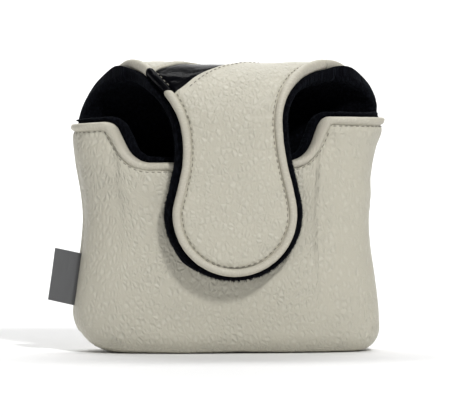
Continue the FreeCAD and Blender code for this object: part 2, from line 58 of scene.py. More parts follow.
# ---- Sizes shared with the part ----
MOUTH_WIDTH, WAIST_WIDTH, BASE_WIDTH = 134.0, 124.5, 133.5
SIDE_HEIGHT = 98.5
FRONT_DEPTH, BACK_DEPTH, DEPTH_LOSS = 23.0, 21.0, 2.0
CORNER_RADIUS, BASE_EDGE_RADIUS = 18.0, 9.0
RIGHT_CORNER = 10.5  # the lower right corner is fuller than the left one
FOLD_RADIUS, FOLD_Y = 27.0, -6.0
MOUTH_HEIGHT = 99.5
BINDING_WIDTH, BINDING_PROUD = 3.1, 0.7
LEATHER_IN, FOAM_OUT, FOAM_IN, PLUSH_OUT, PLUSH_IN = 1.4, 1.45, 4.05, 4.1, 8.1
PANEL_EDGE = BINDING_WIDTH - 1.4  # the leather ends under the binding
STITCH_SET_IN = 4.1
STITCH_LENGTH, STITCH_PITCH, THREAD = 1.7, 2.6, 0.19

MOUTH_LINE = [(-80, 97.6), (-51.6, 99.4), (-42.4, 81.8), (33.6, 82.8), (39.9, 101.6), (80, 100.9)]
MOUTH_ROUND = (5.5, 12.0, 12.0, 5.5)

# The sheet's edges, as (v, x): from the shoulders over the fold and down the flap to the bulb's middle.
QUARTER = FOLD_RADIUS * math.pi / 2  # along the sheet from the fold's top to where it hangs straight
SPRING = -QUARTER - (MOUTH_HEIGHT - SIDE_HEIGHT)  # v at the foot of the shoulders
BULB_RADIUS = 26.4
BULB_X, BULB_Z = 0.85, 60.2
BULB_V = QUARTER + SIDE_HEIGHT - BULB_Z
LEFT_EDGE = [
    (SPRING, -61.0), (-36, -59.0), (-30, -56.6), (-24, -53.8), (-16.5, -49.8), (-10, -46.8), (0, -42.6),
    (10, -38.0), (21, -33.2), (30, -27.8), (39, -23.5), (50, -21.2), (60, -21.4), (70, -23.4),
    (BULB_V, BULB_X - BULB_RADIUS)]
RIGHT_EDGE = [
    (SPRING, 64.0), (-36, 62.6), (-30, 61.3), (-24, 58.9), (-16.5, 54.6), (-10, 50.6), (0, 42.4),
    (10, 34.4), (21, 27.4), (30, 23.1), (39, 21.0), (48, 21.3), (60, 23.2), (70, 25.6),
    (BULB_V, BULB_X + BULB_RADIUS)]
# The stripe's edges, as (v, x).
STRIPE_LEFT = [(-142, 128.0), (-60, 45.0), (-21, 3.5), (0, -19.0), (9, -28.5), (16, -35.5), (40, -60.0)]
STRIPE_RIGHT = [
    (-142, 154.0), (-60, 70.0), (-21, 28.0), (0, 5.5), (7.5, -2.5), (13.5, -9.0), (19.5, -15.0),
    (24.5, -19.6), (30, -26.0), (38, -36.0)]
STRIPE_LAP, CORNER_LAP = 0.5, 0.6  # how far the leather pieces lie over each other at the stripe's edges
STRIPE_STITCH = 2.6  # from the stripe's edge to its top stitching
BLACK_FROM, BLACK_TO = 14.2, 27.6  # along the left edge, where the binding is the stripe's black
PLUSH_LEFT, PLUSH_RIGHT, PLUSH_TIP = 3.3, 2.6, 1.8  # how far the flap's plush stands out of its binding
PLUSH_FOLD, PLUSH_SHOULDER = 1.6, 3.8  # the same at the fold's top and on the back panel's shoulders
LIP = np.array([0.0, 0.04, 0.2, 0.5, 1.0, 1.6, 2.3])  # distances from a plush edge that round it off
LIP_RISE = 2.0  # how far the front's plush stands above its binding
FRINGE_FROM, FRINGE_DEPTHS = 34, (4.4, 7.4)  # where the loose pile starts, and how deep in the lip it grows
FRINGE_ROOT = 0.6  # how far its roots are sunk
OUTLINE = 2 * BULB_V + math.pi * BULB_RADIUS  # length along the front sheet's outline, round the bulb

# ---- How finely the grids are cut ----
ACROSS = np.linspace(0, 1, 151)
LEVELS = np.linspace(0, 104, 105)
BASE_SHARES = np.linspace(0, 1, 9)[:-1] ** 0.8
BASE_TURNS = np.radians(np.linspace(8, 90, 12))
FOOT_V = -QUARTER - SIDE_HEIGHT + BASE_EDGE_RADIUS  # v where the back's wall rises out of the round base edge
REAR_ROWS = np.concatenate([np.linspace(FOOT_V, SPRING - 6, 80), np.linspace(SPRING - 6, 0, 50)[1:]])
REAR_COLUMNS, SOFT_COLUMNS = 141, 81
TUFTS = 1700


# ---- The pouch's form, as the part has it ----
def smooth(t):
    t = np.clip(t, 0.0, 1.0)
    return t * t * (3 - 2 * t)


def near(distance, reach):
    """1 at no distance, falling off smoothly over the reach."""
    return np.exp(-((np.maximum(distance, 0) / reach) ** 2))


def unit(vectors):
    return vectors / np.maximum(np.linalg.norm(vectors, axis=-1, keepdims=True), 1e-9)


def lengths(line):
    """How far along a line of points each one is."""
    return np.concatenate([[0], np.cumsum(np.linalg.norm(np.diff(line, axis=0), axis=1))])


def fillet_loss(height, radius):
    """How far a round edge of this radius draws a wall in at a height above the edge's foot."""
    left = radius - np.clip(height, 0, radius)
    return radius - np.sqrt(np.maximum(radius * radius - left * left, 0))


def half_width(z, inset, corner=CORNER_RADIUS):
    """Half the pouch's width at a height: narrowest at the waist, and round at the lower corners."""
    waist = 0.58 * SIDE_HEIGHT
    rise = smooth(1 - (z - 0.12 * SIDE_HEIGHT) / (0.46 * SIDE_HEIGHT))
    low = WAIST_WIDTH + (BASE_WIDTH - WAIST_WIDTH) * rise
    high = WAIST_WIDTH + (MOUTH_WIDTH - WAIST_WIDTH) * smooth((z - waist) / (SIDE_HEIGHT - waist))
    width = np.where(z < waist, low, high) / 2 + 0.4 * np.maximum(0, z - MOUTH_HEIGHT)
    return width - inset - fillet_loss(z - inset, np.maximum(corner - inset, 1))


def front_depth(z, inset):
    """How far the front wall stands from the middle plane."""
    full = FRONT_DEPTH - DEPTH_LOSS * (1 - smooth(z / (0.4 * SIDE_HEIGHT)))
    return full - inset - fillet_loss(z - inset, np.maximum(BASE_EDGE_RADIUS - inset, 1))


def back_depth(z, inset):
    """How far the back wall stands from the middle plane, and over the wall's top the fold's arc."""
    r = FOLD_RADIUS - inset
    arc = FOLD_Y + np.sqrt(np.maximum(r * r - np.maximum(z - SIDE_HEIGHT, 0) ** 2, 1))
    belly = DEPTH_LOSS * np.sin(math.pi * np.clip(z / SIDE_HEIGHT, 0, 1))
    wall = BACK_DEPTH + belly - inset - fillet_loss(z - inset, np.maximum(BASE_EDGE_RADIUS - inset, 1))
    return np.where(z > SIDE_HEIGHT, arc, wall)


def fullness(z):
    """The superellipse's exponent at a height: squarer above the mouth."""
    return 2.8 + 4.2 * smooth((z - 0.9 * SIDE_HEIGHT) / (0.25 * SIDE_HEIGHT))


def pouch_point(z, angle, inset, side):
    """A point of the wall. angle runs from 0 at the right seam to pi at the left one, and side is -1 at the
    front and +1 at the back."""
    n = fullness(z)
    c, s = np.cos(angle), np.sin(angle)
    r = (np.abs(c) ** n + np.abs(s) ** n) ** (-1 / n)
    depth = back_depth(z, inset) if side > 0 else front_depth(z, inset)
    corner = RIGHT_CORNER + (CORNER_RADIUS - RIGHT_CORNER) * smooth(0.5 - 4 * c)
    return np.stack([half_width(z, inset, corner) * c * r, side * depth * s * r, z + 0 * c], -1)


def angle_at(x, z, side_sign):
    """The wall's angle where it is x wide of the middle, for one side."""
    n = fullness(z)
    share = np.clip(np.abs(x) / half_width(z, 0), 1e-6, 1)
    a = np.arctan((share**-n - 1) ** (1 / n))
    return a if side_sign > 0 else math.pi - a


def even_angles(z, low, high, shares, side):
    """Angles that divide one row of the wall evenly by length."""
    fine = np.linspace(low, high, 240)
    points = pouch_point(np.full_like(fine, z), fine, 0.0, side)
    run = lengths(points)
    return np.interp(shares * run[-1], run, fine)


# ---- Outlines ----
def rounded(corners, radii, steps=9):
    """A path of straight runs with round corners, as an array of points."""
    path = [np.array(corners[0], float)]
    for k, radius in enumerate(radii, 1):
        here = np.array(corners[k], float)
        back = np.array(corners[k - 1]) - here
        on = np.array(corners[k + 1]) - here
        back, on = back / np.linalg.norm(back), on / np.linalg.norm(on)
        half = math.acos(np.clip(back @ on, -1, 1)) / 2
        reach = radius / math.tan(half)
        centre = here + (back + on) / np.linalg.norm(back + on) * radius / math.sin(half)
        first, last = here + back * reach - centre, here + on * reach - centre
        for t in np.linspace(0, 1, steps):
            spoke = first * (1 - t) + last * t
            path.append(centre + spoke / np.linalg.norm(spoke) * radius)
    path.append(np.array(corners[-1], float))
    return np.array(path)


MOUTH_PATH = rounded(MOUTH_LINE, MOUTH_ROUND)


def curve_at(points, v):
    """A smooth curve through (v, x) points, by monotone cubic steps, read at v."""
    p = np.array(points, float)
    h, d = np.diff(p[:, 0]), np.diff(p[:, 1]) / np.diff(p[:, 0])
    slope = np.empty(len(p))
    slope[1:-1] = (d[:-1] * h[1:] + d[1:] * h[:-1]) / (h[:-1] + h[1:])
    slope[0], slope[-1] = d[0], d[-1] if points[-1][0] != BULB_V else 0
    v = np.asarray(v, float)
    k = np.clip(np.searchsorted(p[:, 0], v) - 1, 0, len(h) - 1)
    t = np.clip((v - p[k, 0]) / h[k], 0, 1)
    a, b = p[k, 1], p[k + 1, 1]
    return (a * (1 + 2 * t) * (1 - t) ** 2 + slope[k] * h[k] * t * (1 - t) ** 2
            + b * t * t * (3 - 2 * t) + slope[k + 1] * h[k] * t * t * (t - 1))


def mouth_distance(x, z):
    """How far below or beside the mouth's line a point of the front is, and how far along the line it is."""
    a, b = MOUTH_PATH[:-1], MOUTH_PATH[1:]
    run = lengths(MOUTH_PATH)
    best = np.full(np.shape(x), 1e9)
    along = np.zeros(np.shape(x))
    for k in range(len(a)):
        d = b[k] - a[k]
        t = np.clip(((x - a[k][0]) * d[0] + (z - a[k][1]) * d[1]) / (d @ d), 0, 1)
        gap = np.hypot(x - a[k][0] - t * d[0], z - a[k][1] - t * d[1])
        along = np.where(gap < best, run[k] + t * np.linalg.norm(d), along)
        best = np.minimum(best, gap)
    return best, along


def edge_x(side, v, inset):
    """X of the sheet's edge at v, moved in by inset. side is -1 left, +1 right."""
    points = LEFT_EDGE if side < 0 else RIGHT_EDGE
    step = 0.5
    slope = (curve_at(points, v + step) - curve_at(points, v - step)) / (2 * step)
    return curve_at(points, v) - side * inset * np.sqrt(1 + slope**2)


def edge_at(side, v, inset):
    return float(edge_x(side, np.array(v), inset))


# ---- The sheet in space ----
def saddle(x, v):
    """How far the fold sags in its middle, where the sheet is stretched between its edges."""
    return 1.8 * np.clip(1 - (x / 46) ** 2, 0, 1) * near(np.abs(v - 2), 26)


def sheet_point(x, v, inset):
    """A point of the back, the fold or the flap."""
    v = np.asarray(v, float)
    r = FOLD_RADIUS - inset - saddle(x, v)
    turn = np.clip(v / FOLD_RADIUS, -math.pi / 4, math.pi / 2)
    y = FOLD_Y - r * np.sin(turn)
    z = SIDE_HEIGHT + r * np.cos(turn) - np.maximum(v - QUARTER, 0)
    return np.stack([x + 0 * v, y, z], -1)


def noise_at(points, scale, seed=0.0):
    """Smooth noise from -1 to 1 at an array of points, after dividing them by scale."""
    flat = (np.asarray(points) / np.asarray(scale)).reshape(-1, 3) + seed
    return np.array([noise.noise(Vector(p)) for p in flat]).reshape(np.shape(points)[:-1])


def flat_noise(a, b, seed):
    return noise_at(np.stack([a, b, 0 * a], -1), 1.0, seed)


# ---- Meshes ----
def placed(name, data):
    made = bpy.data.objects.new(name, data)
    bpy.context.scene.collection.objects.link(made)
    return made


def settled(points):
    """The points, with the right wall drawn in under the mouth, the front's left tip out, and nothing below
    the floor."""
    points = np.array(points, float)
    x, y, z = points[..., 0], points[..., 1], points[..., 2]
    draw = (1.5 * smooth((z - 66) / 10) + 1.9 * near(z - 88, 5)) * smooth((110 - z) / 8) - 0.8
    tip = 2.4 * smooth((z - 98.6) / 1.2) * smooth((1.5 - y) / 1.5) * smooth((106 - z) / 3)
    points[..., 0] = x - draw * np.clip(x / 66, 0, 1) ** 3 - tip * np.clip(-x / 64, 0, 1) ** 6
    points[..., 2] = np.maximum(z, 0)
    return points


def make_mesh(name, points, faces, uv, slot, look=None):
    mesh = bpy.data.meshes.new(name)
    mesh.from_pydata((settled(points) * MM).tolist(), [], faces)
    layer = mesh.uv_layers.new(name="UVMap")
    loops = np.empty(len(mesh.loops), int)
    mesh.loops.foreach_get("vertex_index", loops)
    layer.data.foreach_set("uv", (np.asarray(uv)[loops] * MM).ravel())
    mesh.validate()
    mesh.polygons.foreach_set("use_smooth", [True] * len(mesh.polygons))
    piece = placed(name, mesh)
    piece.data.materials.append(MATERIALS[look or slot])
    return piece


def grid_faces(rows, cols, start=0, flip=False, closed=False):
    faces = []
    for r in range(rows - 1):
        for c in range(cols if closed else cols - 1):
            d = (c + 1) % cols
            low, high = start + r * cols, start + (r + 1) * cols
            quad = (low + c, low + d, high + d, high + c)
            faces.append(quad[::-1] if flip else quad)
    return faces


def layer_mesh(name, outer, inner, uv, slot, flip=False):
    """A closed shell between two grids of the same size, with walls round the rim."""
    rows, cols = outer.shape[:2]
    n = rows * cols
    points = np.concatenate([outer.reshape(-1, 3), inner.reshape(-1, 3)])
    faces = grid_faces(rows, cols, 0, flip) + grid_faces(rows, cols, n, not flip)
    rim = [c for c in range(cols)] + [r * cols + cols - 1 for r in range(1, rows)]
    rim += [(rows - 1) * cols + c for c in range(cols - 2, -1, -1)]
    rim += [r * cols for r in range(rows - 2, 0, -1)]
    for a, b in zip(rim, rim[1:] + rim[:1]):
        quad = (a, a + n, b + n, b)
        faces.append(quad[::-1] if flip else quad)
    flat = np.concatenate([uv.reshape(-1, 2)] * 2)
    return make_mesh(name, points, faces, flat, slot)


def tube_mesh(name, rings, uv, slot, look=None):
    """A closed bar: rings of points along it, and a cap at each end."""
    rows, cols = rings.shape[:2]
    faces = grid_faces(rows, cols, closed=True)
    last = (rows - 1) * cols
    faces += [tuple(range(cols))[::-1], tuple(range(last, last + cols))]
    return make_mesh(name, rings.reshape(-1, 3), faces, uv.reshape(-1, 2), slot, look)


def stitch_mesh(name, places, slot):
    """Short round-ended threads. places holds (middle, along, out) unit frames in millimetres."""
    sides, points, faces, uv = 8, [], [], []
    profile = [(-0.5, 0.35), (-0.42, 0.85), (-0.25, 1.0), (0.25, 1.0), (0.42, 0.85), (0.5, 0.35)]
    for middle, along, out in places:
        across = np.cross(along, out)
        start = len(points)
        for share, width in profile:
            sink = THREAD * 1.5 * max(0.0, abs(share) - 0.3) / 0.2
            for k in range(sides):
                a = 2 * math.pi * k / sides
                ring = (across * math.cos(a) + out * math.sin(a)) * THREAD * width
                points.append(middle + along * share * STITCH_LENGTH + ring - out * sink)
                uv.append((share * STITCH_LENGTH, a * THREAD))
        faces += grid_faces(len(profile), sides, start, closed=True)
        last = start + (len(profile) - 1) * sides
        faces += [tuple(range(start, start + sides))[::-1], tuple(range(last, last + sides))]
    return make_mesh(name, np.array(points), faces, np.array(uv), slot)


def stitches_along(line, normals):
    """Frames for stitches spaced evenly along a line of points, with the surface's normals there."""
    run = lengths(line)
    reach = 0.6  # to either side of a stitch, for its direction

    def read(values, s):
        return np.array([np.interp(s, run, values[:, k]) for k in range(3)])

    places = []
    for s in np.arange(STITCH_PITCH / 2, run[-1], STITCH_PITCH):
        at = read(line, s)
        on, back = read(line, s + reach), read(line, s - reach)
        out = read(normals, s)
        along = (on - back) / max(np.linalg.norm(on - back), 1e-6)
        out = out - along * (out @ along)
        places.append((at, along, out / np.linalg.norm(out)))
    return places


# ---- Materials ----
def add(tree, kind, links=None, **values):
    """A node with its inputs set by name, and linked from the sockets given in links."""
    item = tree.nodes.new(kind)
    for key, value in values.items():
        if hasattr(item, key):
            setattr(item, key, value)
        else:
            item.inputs[key.replace("_", " ")].default_value = value
    for key, socket in (links or {}).items():
        tree.links.new(socket, item.inputs[key])
    return item


def new_material(name, color, roughness, **sockets):
    made = bpy.data.materials.new(name)
    made.use_nodes = True
    tree = made.node_tree
    shader = tree.nodes["Principled BSDF"]
    shader.inputs["Base Color"].default_value = (*color, 1)
    shader.inputs["Roughness"].default_value = roughness
    for key, value in sockets.items():
        shader.inputs[key.replace("_", " ")].default_value = value
    return made, tree, shader


def mapped(tree, scale, angle=0.0):
    """The piece's own flat coordinates in metres, turned and scaled."""
    flat = tree.nodes.new("ShaderNodeUVMap").outputs[0]
    turned = add(tree, "ShaderNodeMapping", {"Vector": flat}, Scale=scale, Rotation=(0, 0, angle))
    return turned.outputs[0]


def warped(tree, vector, scale, amount):
    """The coordinates, pushed about by noise so that nothing runs straight."""
    push = texture(tree, "Noise", vector, Scale=scale, Detail=2.0)
    centred = add(tree, "ShaderNodeVectorMath", {0: push.outputs["Color"]}, operation="SUBTRACT")
    centred.inputs[1].default_value = (0.5, 0.5, 0.5)
    sized = add(tree, "ShaderNodeVectorMath", {0: centred.outputs[0]}, operation="SCALE")
    sized.inputs["Scale"].default_value = amount
    return add(tree, "ShaderNodeVectorMath", {0: vector, 1: sized.outputs[0]}, operation="ADD").outputs[0]


def ranged(tree, socket, low, high, to_low=0.0, to_high=1.0, kind="SMOOTHSTEP"):
    made = add(tree, "ShaderNodeMapRange", {"Value": socket}, interpolation_type=kind)
    for key, value in (("From Min", low), ("From Max", high), ("To Min", to_low), ("To Max", to_high)):
        made.inputs[key].default_value = value
    return made.outputs[0]


def maths(tree, operation, a, b):
    made = add(tree, "ShaderNodeMath", operation=operation)
    for slot, value in ((0, a), (1, b)):
        if isinstance(value, (int, float)):
            made.inputs[slot].default_value = value
        else:
            tree.links.new(value, made.inputs[slot])
    return made.outputs[0]


def blended(tree, factor, a, b):
    made = add(tree, "ShaderNodeMix", {"Factor": factor}, data_type="RGBA")
    for slot, value in ((6, a), (7, b)):
        if isinstance(value, tuple):
            made.inputs[slot].default_value = (*value, 1)
        else:
            tree.links.new(value, made.inputs[slot])
    return made.outputs[2]


def texture(tree, kind, vector, **values):
    return add(tree, "ShaderNodeTex" + kind, {"Vector": vector}, **values)


def bumped(tree, shader, height, strength, distance):
    bump = add(tree, "ShaderNodeBump", {"Height": height}, Strength=strength, Distance=distance)
    tree.links.new(bump.outputs[0], shader.inputs["Normal"])


def painted(tree, shader, factor, a, b):
    tree.links.new(blended(tree, factor, a, b), shader.inputs["Base Color"])


def speckle(tree, scale, detail, angle=0.0):
    """Noise over the piece's flat coordinates."""
    return texture(tree, "Noise", mapped(tree, scale, angle), Scale=1.0, Detail=detail).outputs["Fac"]


def own_place(tree):
    return tree.nodes.new("ShaderNodeTexCoord").outputs["Object"]


def pebbles(tree, cell, stretch, angle):
    """Height of a pebbled grain, 0 in the creases and 1 on the pebbles, and of its fine unevenness."""
    flat = mapped(tree, (1 / cell, 1 / (cell * stretch), 1), angle)
    loose = warped(tree, flat, 0.7, 0.16)
    coarse = texture(tree, "Voronoi", loose, feature="DISTANCE_TO_EDGE", Scale=1.0)
    fine = texture(tree, "Noise", loose, Scale=2.2, Detail=2.0)
    return ranged(tree, coarse.outputs["Distance"], 0.0, 0.42), fine.outputs["Fac"]


def leather(name, color, crease, cell, stretch, angle, roughness, depth):
    """Pebbled leather. cell is a pebble's size and depth its relief in metres, crease the darker colour
    painted into the creases between the pebbles as shade.
    """
    made, tree, shader = new_material(name, color, roughness, Specular_IOR_Level=0.45)
    coarse, fine = pebbles(tree, cell, stretch, angle)
    pores = speckle(tree, (9000, 9000, 1), 2.0)
    patches = speckle(tree, (45, 60, 1), 3.0)
    firm = ranged(tree, patches, 0.35, 0.7, 0.55, 1.0)
    height = maths(tree, "ADD", maths(tree, "MULTIPLY", coarse, firm), maths(tree, "MULTIPLY", fine, 0.5))
    height = maths(tree, "ADD", height, maths(tree, "MULTIPLY", pores, 0.07))
    bumped(tree, shader, height, 1.0, depth)
    # The grain's creases get the darker crease colour: painted shade in the bump's recesses.
    crease_shaded_colour = blended(tree, coarse, crease, color)
    shade = ranged(tree, patches, 0.3, 0.75, 0.0, 0.35)
    painted(tree, shader, shade, crease_shaded_colour, tuple(c * 0.9 for c in color))
    rough = ranged(tree, fine, 0.0, 1.0, roughness + 0.14, roughness)
    tree.links.new(rough, shader.inputs["Roughness"])
    return made


def patent():
    made, tree, shader = new_material("black_patent", (0.002, 0.002, 0.003), 0.3, IOR=1.10,
                                      Coat_Weight=0.03, Coat_Roughness=0.08)
    waves = speckle(tree, (260, 420, 1), 3.0, 0.7)
    grain = speckle(tree, (2600, 2600, 1), 2.0)
    height = maths(tree, "ADD", waves, maths(tree, "MULTIPLY", grain, 0.10))
    bumped(tree, shader, height, 0.4, 0.0004)
    dull = ranged(tree, waves, 0.35, 0.7, 0.16, 0.32)
    tree.links.new(dull, shader.inputs["Roughness"])
    return made


def plush():
    made, tree, shader = new_material(
        "black_plush", (0.003, 0.003, 0.004), 0.95, Specular_IOR_Level=0.05,
        Sheen_Weight=0.03, Sheen_Roughness=0.4, Sheen_Tint=(0.45, 0.55, 0.7, 1))
    lay = warped(tree, mapped(tree, (900, 500, 1)), 0.6, 1.2)
    pile = texture(tree, "Noise", lay, Scale=1.0, Detail=5.0, Roughness=0.7)
    clumps = speckle(tree, (240, 240, 1), 3.0)
    height = maths(tree, "ADD", pile.outputs["Fac"], clumps)
    bumped(tree, shader, height, 1.0, 0.0009)
    tone = ranged(tree, pile.outputs["Fac"], 0.42, 0.72)
    painted(tree, shader, tone, (0.001, 0.001, 0.002), (0.007, 0.008, 0.012))
    return made


def cloth(name, color, other, per_metre, roughness):
    """A woven tape: over and under threads, with slubs of another tone."""
    made, tree, shader = new_material(name, color, roughness, Sheen_Weight=0.2)
    flat = mapped(tree, (per_metre, per_metre, 1))
    warp = texture(tree, "Wave", flat, bands_direction="X", Scale=0.5, Distortion=0.3)
    weft = texture(tree, "Wave", flat, bands_direction="Y", Scale=0.5, Distortion=0.3)
    height = maths(tree, "MULTIPLY", warp.outputs["Fac"], weft.outputs["Fac"])
    slubs = speckle(tree, (500, 90, 1), 3.0)
    tone = maths(tree, "MULTIPLY", height, slubs)
    painted(tree, shader, ranged(tree, tone, 0.1, 0.5), color, other)
    bumped(tree, shader, height, 0.6, 0.0002)
    return made


def thread():
    made, tree, shader = new_material("thread", (0.20, 0.19, 0.16), 0.6)
    twist = texture(tree, "Wave", mapped(tree, (2200, 2200, 1), 0.6), Scale=0.5)
    bumped(tree, shader, twist.outputs["Fac"], 0.5, 0.0001)
    painted(tree, shader, twist.outputs["Fac"], (0.16, 0.15, 0.12), (0.32, 0.30, 0.25))
    return made


def foam():
    made, tree, shader = new_material("foam", (0.72, 0.70, 0.64), 0.95)
    cells = texture(tree, "Voronoi", own_place(tree), Scale=1800.0)
    bumped(tree, shader, cells.outputs["Distance"], 0.8, 0.0004)
    painted(tree, shader, cells.outputs["Distance"], (0.55, 0.53, 0.47), (0.78, 0.76, 0.70))
    return made


def nickel():
    made, tree, shader = new_material("magnet", (0.66, 0.65, 0.62), 0.28, Metallic=1.0)
    spots = texture(tree, "Noise", own_place(tree), Scale=900.0, Detail=3.0)
    tree.links.new(ranged(tree, spots.outputs["Fac"], 0.3, 0.7, 0.2, 0.4), shader.inputs["Roughness"])
    return made


CREAM = (0.575, 0.552, 0.462)
# The second colour of each leather is painted into the grain's creases as shade.
CREASE_SHADE = (0.53, 0.503, 0.414)
ROLL, ROLL_CREASE_SHADE = (0.58, 0.552, 0.458), (0.51, 0.48, 0.40)
MATERIALS = {
    "cream_leather": leather("cream_leather", CREAM, CREASE_SHADE, 0.0021, 1.3, 0.5, 0.36, 0.00042),
    "binding_leather": leather("binding_leather", ROLL, ROLL_CREASE_SHADE, 0.0011, 2.2, 1.5, 0.42, 0.00010),
    "black_patent": patent(),
    "black_plush": plush(),
    "foam": foam(),
    "magnet": nickel(),
    "patch_cloth": cloth("patch_cloth", (0.74, 0.73, 0.70), (0.82, 0.81, 0.78), 1500, 0.9),
    "thread": thread(),
    "label_cloth": cloth("label_cloth", (0.105, 0.107, 0.11), (0.18, 0.184, 0.188), 2600, 0.55),
}


def attach(piece, place, nodes=()):
    """Parents a piece to its body's empty, or bakes its transform for rear and front; and hides the part's
    pieces it stands for. place is a body's name, or rear or front for the halves of the sheet on either side
    of the fold."""
    if place == "rear":
        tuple(REAR_BEND[0])
        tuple(REAR_BEND[1])
        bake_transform(piece)
    elif place == "front":
        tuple(FRONT_BEND[0])
        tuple(FRONT_BEND[1])
        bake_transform(piece)
    else:
        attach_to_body(piece, place)
    if nodes:
        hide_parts(*nodes)


# ---- The front panel ----
FRONT_ANGLES = np.array([even_angles(z, 0, math.pi, ACROSS, -1) for z in LEVELS])


def front_angle(z):
    """The angle of each column at its own height z (one z for each column)."""
    k = np.clip(z.astype(int), 0, len(LEVELS) - 2)
    t = z - LEVELS[k]
    cols = np.arange(len(z))
    return FRONT_ANGLES[k, cols] * (1 - t) + FRONT_ANGLES[k + 1, cols] * t


def level_angles(z):
    """The angles of the front's columns where they all have the same height."""
    return front_angle(np.full(len(ACROSS), float(z)))


def mouth_heights(drop):
    """The height at which each column meets the mouth's line, lowered by drop."""
    d = unit(np.gradient(MOUTH_PATH, axis=0))
    low = MOUTH_PATH + np.stack([d[:, 1], -d[:, 0]], -1) * drop
    low = low[np.concatenate([[True], np.diff(np.maximum.accumulate(low[:, 0])) > 1e-6])]
    x = pouch_point(LEVELS[:, None] + 0 * ACROSS, FRONT_ANGLES, 0.0, -1)[..., 0]
    above = LEVELS[:, None] - np.interp(x, low[:, 0], low[:, 1])
    k = np.argmax(above > 0, axis=0)
    cols = np.arange(len(ACROSS))
    f0, f1 = above[k - 1, cols], above[k, cols]
    return LEVELS[k - 1] + (LEVELS[k] - LEVELS[k - 1]) * (-f0 / (f1 - f0))


def base_rows(inset, angles, side, shares, turns):
    """The flat base from its seam out, and the round edge up to the wall. Gives rows of points. angles is a
    function of the height."""
    rows = []
    radius = BASE_EDGE_RADIUS - inset
    for share in shares:
        around = angles(inset)
        row = pouch_point(np.full(len(around), inset + 1e-3), around, inset, side)
        row[:, 1] *= share
        rows.append(row)
    for turn in turns:
        z = inset + radius * (1 - math.cos(turn))
        around = angles(z)
        rows.append(pouch_point(np.full(len(around), z), around, inset, side))
    return rows


def front_relief(points):
    """How far the front leather stands out of its plain form: seams pulled in, and wrinkles beside the
    binding."""
    x, y, z = points[..., 0], points[..., 1], points[..., 2]
    gap, along = mouth_distance(x, z)
    off = gap - BINDING_WIDTH
    fine = flat_noise(along / 3.1, gap / 11, 3.1) * near(off, 10) * smooth(off / 1.2)
    notch = near(np.abs(np.abs(x - 2) - 36), 16) * near(np.abs(z - 80), 16)
    pull = flat_noise((x * 0.8 + z * 0.6) / 4.2, (z * 0.8 - x * 0.6) / 14, 8.2)
    broad = flat_noise(x / 26, z / 22, 5.5)
    dents = flat_noise(x / 8, z / 8, 1.5)
    # In millimetres: wrinkles, pulls at the notches, broad waves and dents, then seams and the padding.
    relief = 0.45 * fine + 0.5 * pull * notch + 0.75 * broad + 0.16 * dents
    relief = relief * smooth(np.abs(y) / 8) - 1.5 * near(np.abs(y), 2.0) - 0.9 * near(off, 1.3)
    return relief + 0.7 * near(np.abs(off - 8), 6)


def front_grid(inset, drop, relief_share, rows=92):
    """The front panel from the base's seam up to the mouth's line, lowered by drop."""
    top = mouth_heights(drop)
    grid = base_rows(inset, level_angles, -1, BASE_SHARES, BASE_TURNS)
    foot = grid[-1][0, 2]
    for t in np.linspace(0, 1, rows + 1)[1:]:
        z = foot + (top - foot) * t
        grid.append(pouch_point(z, front_angle(z), inset, -1))
    grid = np.array(grid)
    if relief_share:
        out = surface_normals(grid)
        grid = grid + out * (front_relief(grid) * relief_share)[..., None]
    return grid


def surface_normals(grid):
    """Unit normals of a grid of points, turned to face away from the pouch's middle."""
    across, up = np.gradient(grid, axis=1), np.gradient(grid, axis=0)
    normal = unit(np.cross(across, up))
    middle = grid[grid.shape[0] // 2, grid.shape[1] // 2]
    towards = (normal[grid.shape[0] // 2, grid.shape[1] // 2] * (middle - np.array([0, 0, 55.0]))).sum()
    return normal if towards > 0 else -normal


def flat_lengths(grid):
    """Flat coordinates of a grid of points: lengths along its middle row and middle column."""
    steps = np.linalg.norm(np.diff(grid, axis=1), axis=-1)
    across = np.concatenate([np.zeros((grid.shape[0], 1)), np.cumsum(steps, 1)], 1)
    across = across - across[:, grid.shape[1] // 2][:, None]
    middle = grid[:, grid.shape[1] // 2]
    return np.stack([across, np.repeat(lengths(middle)[:, None], grid.shape[1], 1)], -1)


def front_panel():
    outer, inner = front_grid(0.0, PANEL_EDGE, 1.0), front_grid(LEATHER_IN, PANEL_EDGE, 0.7)
    piece = layer_mesh("front_leather", outer, inner, flat_lengths(outer), "cream_leather")
    attach(piece, "pouch", ["front_leather_panel"])


def front_foam():
    """The padding behind the front leather."""
    outer, inner = front_grid(FOAM_OUT, PANEL_EDGE + 1, 0), front_grid(FOAM_IN, PANEL_EDGE + 1, 0)
    piece = layer_mesh("front_foam", outer, inner, flat_lengths(outer), "foam")
    attach(piece, "pouch", ["front_foam_pad"])


def lip_swell(v):
    """How proud the plush's lip stands at v: plump on the back's shoulders, flatter on the flap."""
    return 1.0 + 2.3 * smooth((8 - v) / 15)


def roll_section(width, low, high, count=18):
    """The rolled binding's section: how far in from the edge, and how deep, round a rounded rectangle."""
    middle, half = (low + high) / 2, (high - low) / 2
    boxy = 2.5  # the superellipse's exponent
    section = []
    for k in range(count):
        a = 2 * math.pi * k / count
        c, s = math.cos(a), math.sin(a)
        r = (abs(c) ** boxy + abs(s) ** boxy) ** (-1 / boxy)
        section.append((width / 2 * (1 + c * r), middle - half * s * r))
    return section


SECTION = roll_section(BINDING_WIDTH + 0.3, -BINDING_PROUD - 0.2, FOAM_IN)
AROUND = np.arange(len(SECTION)) * 0.65  # flat lengths round the roll


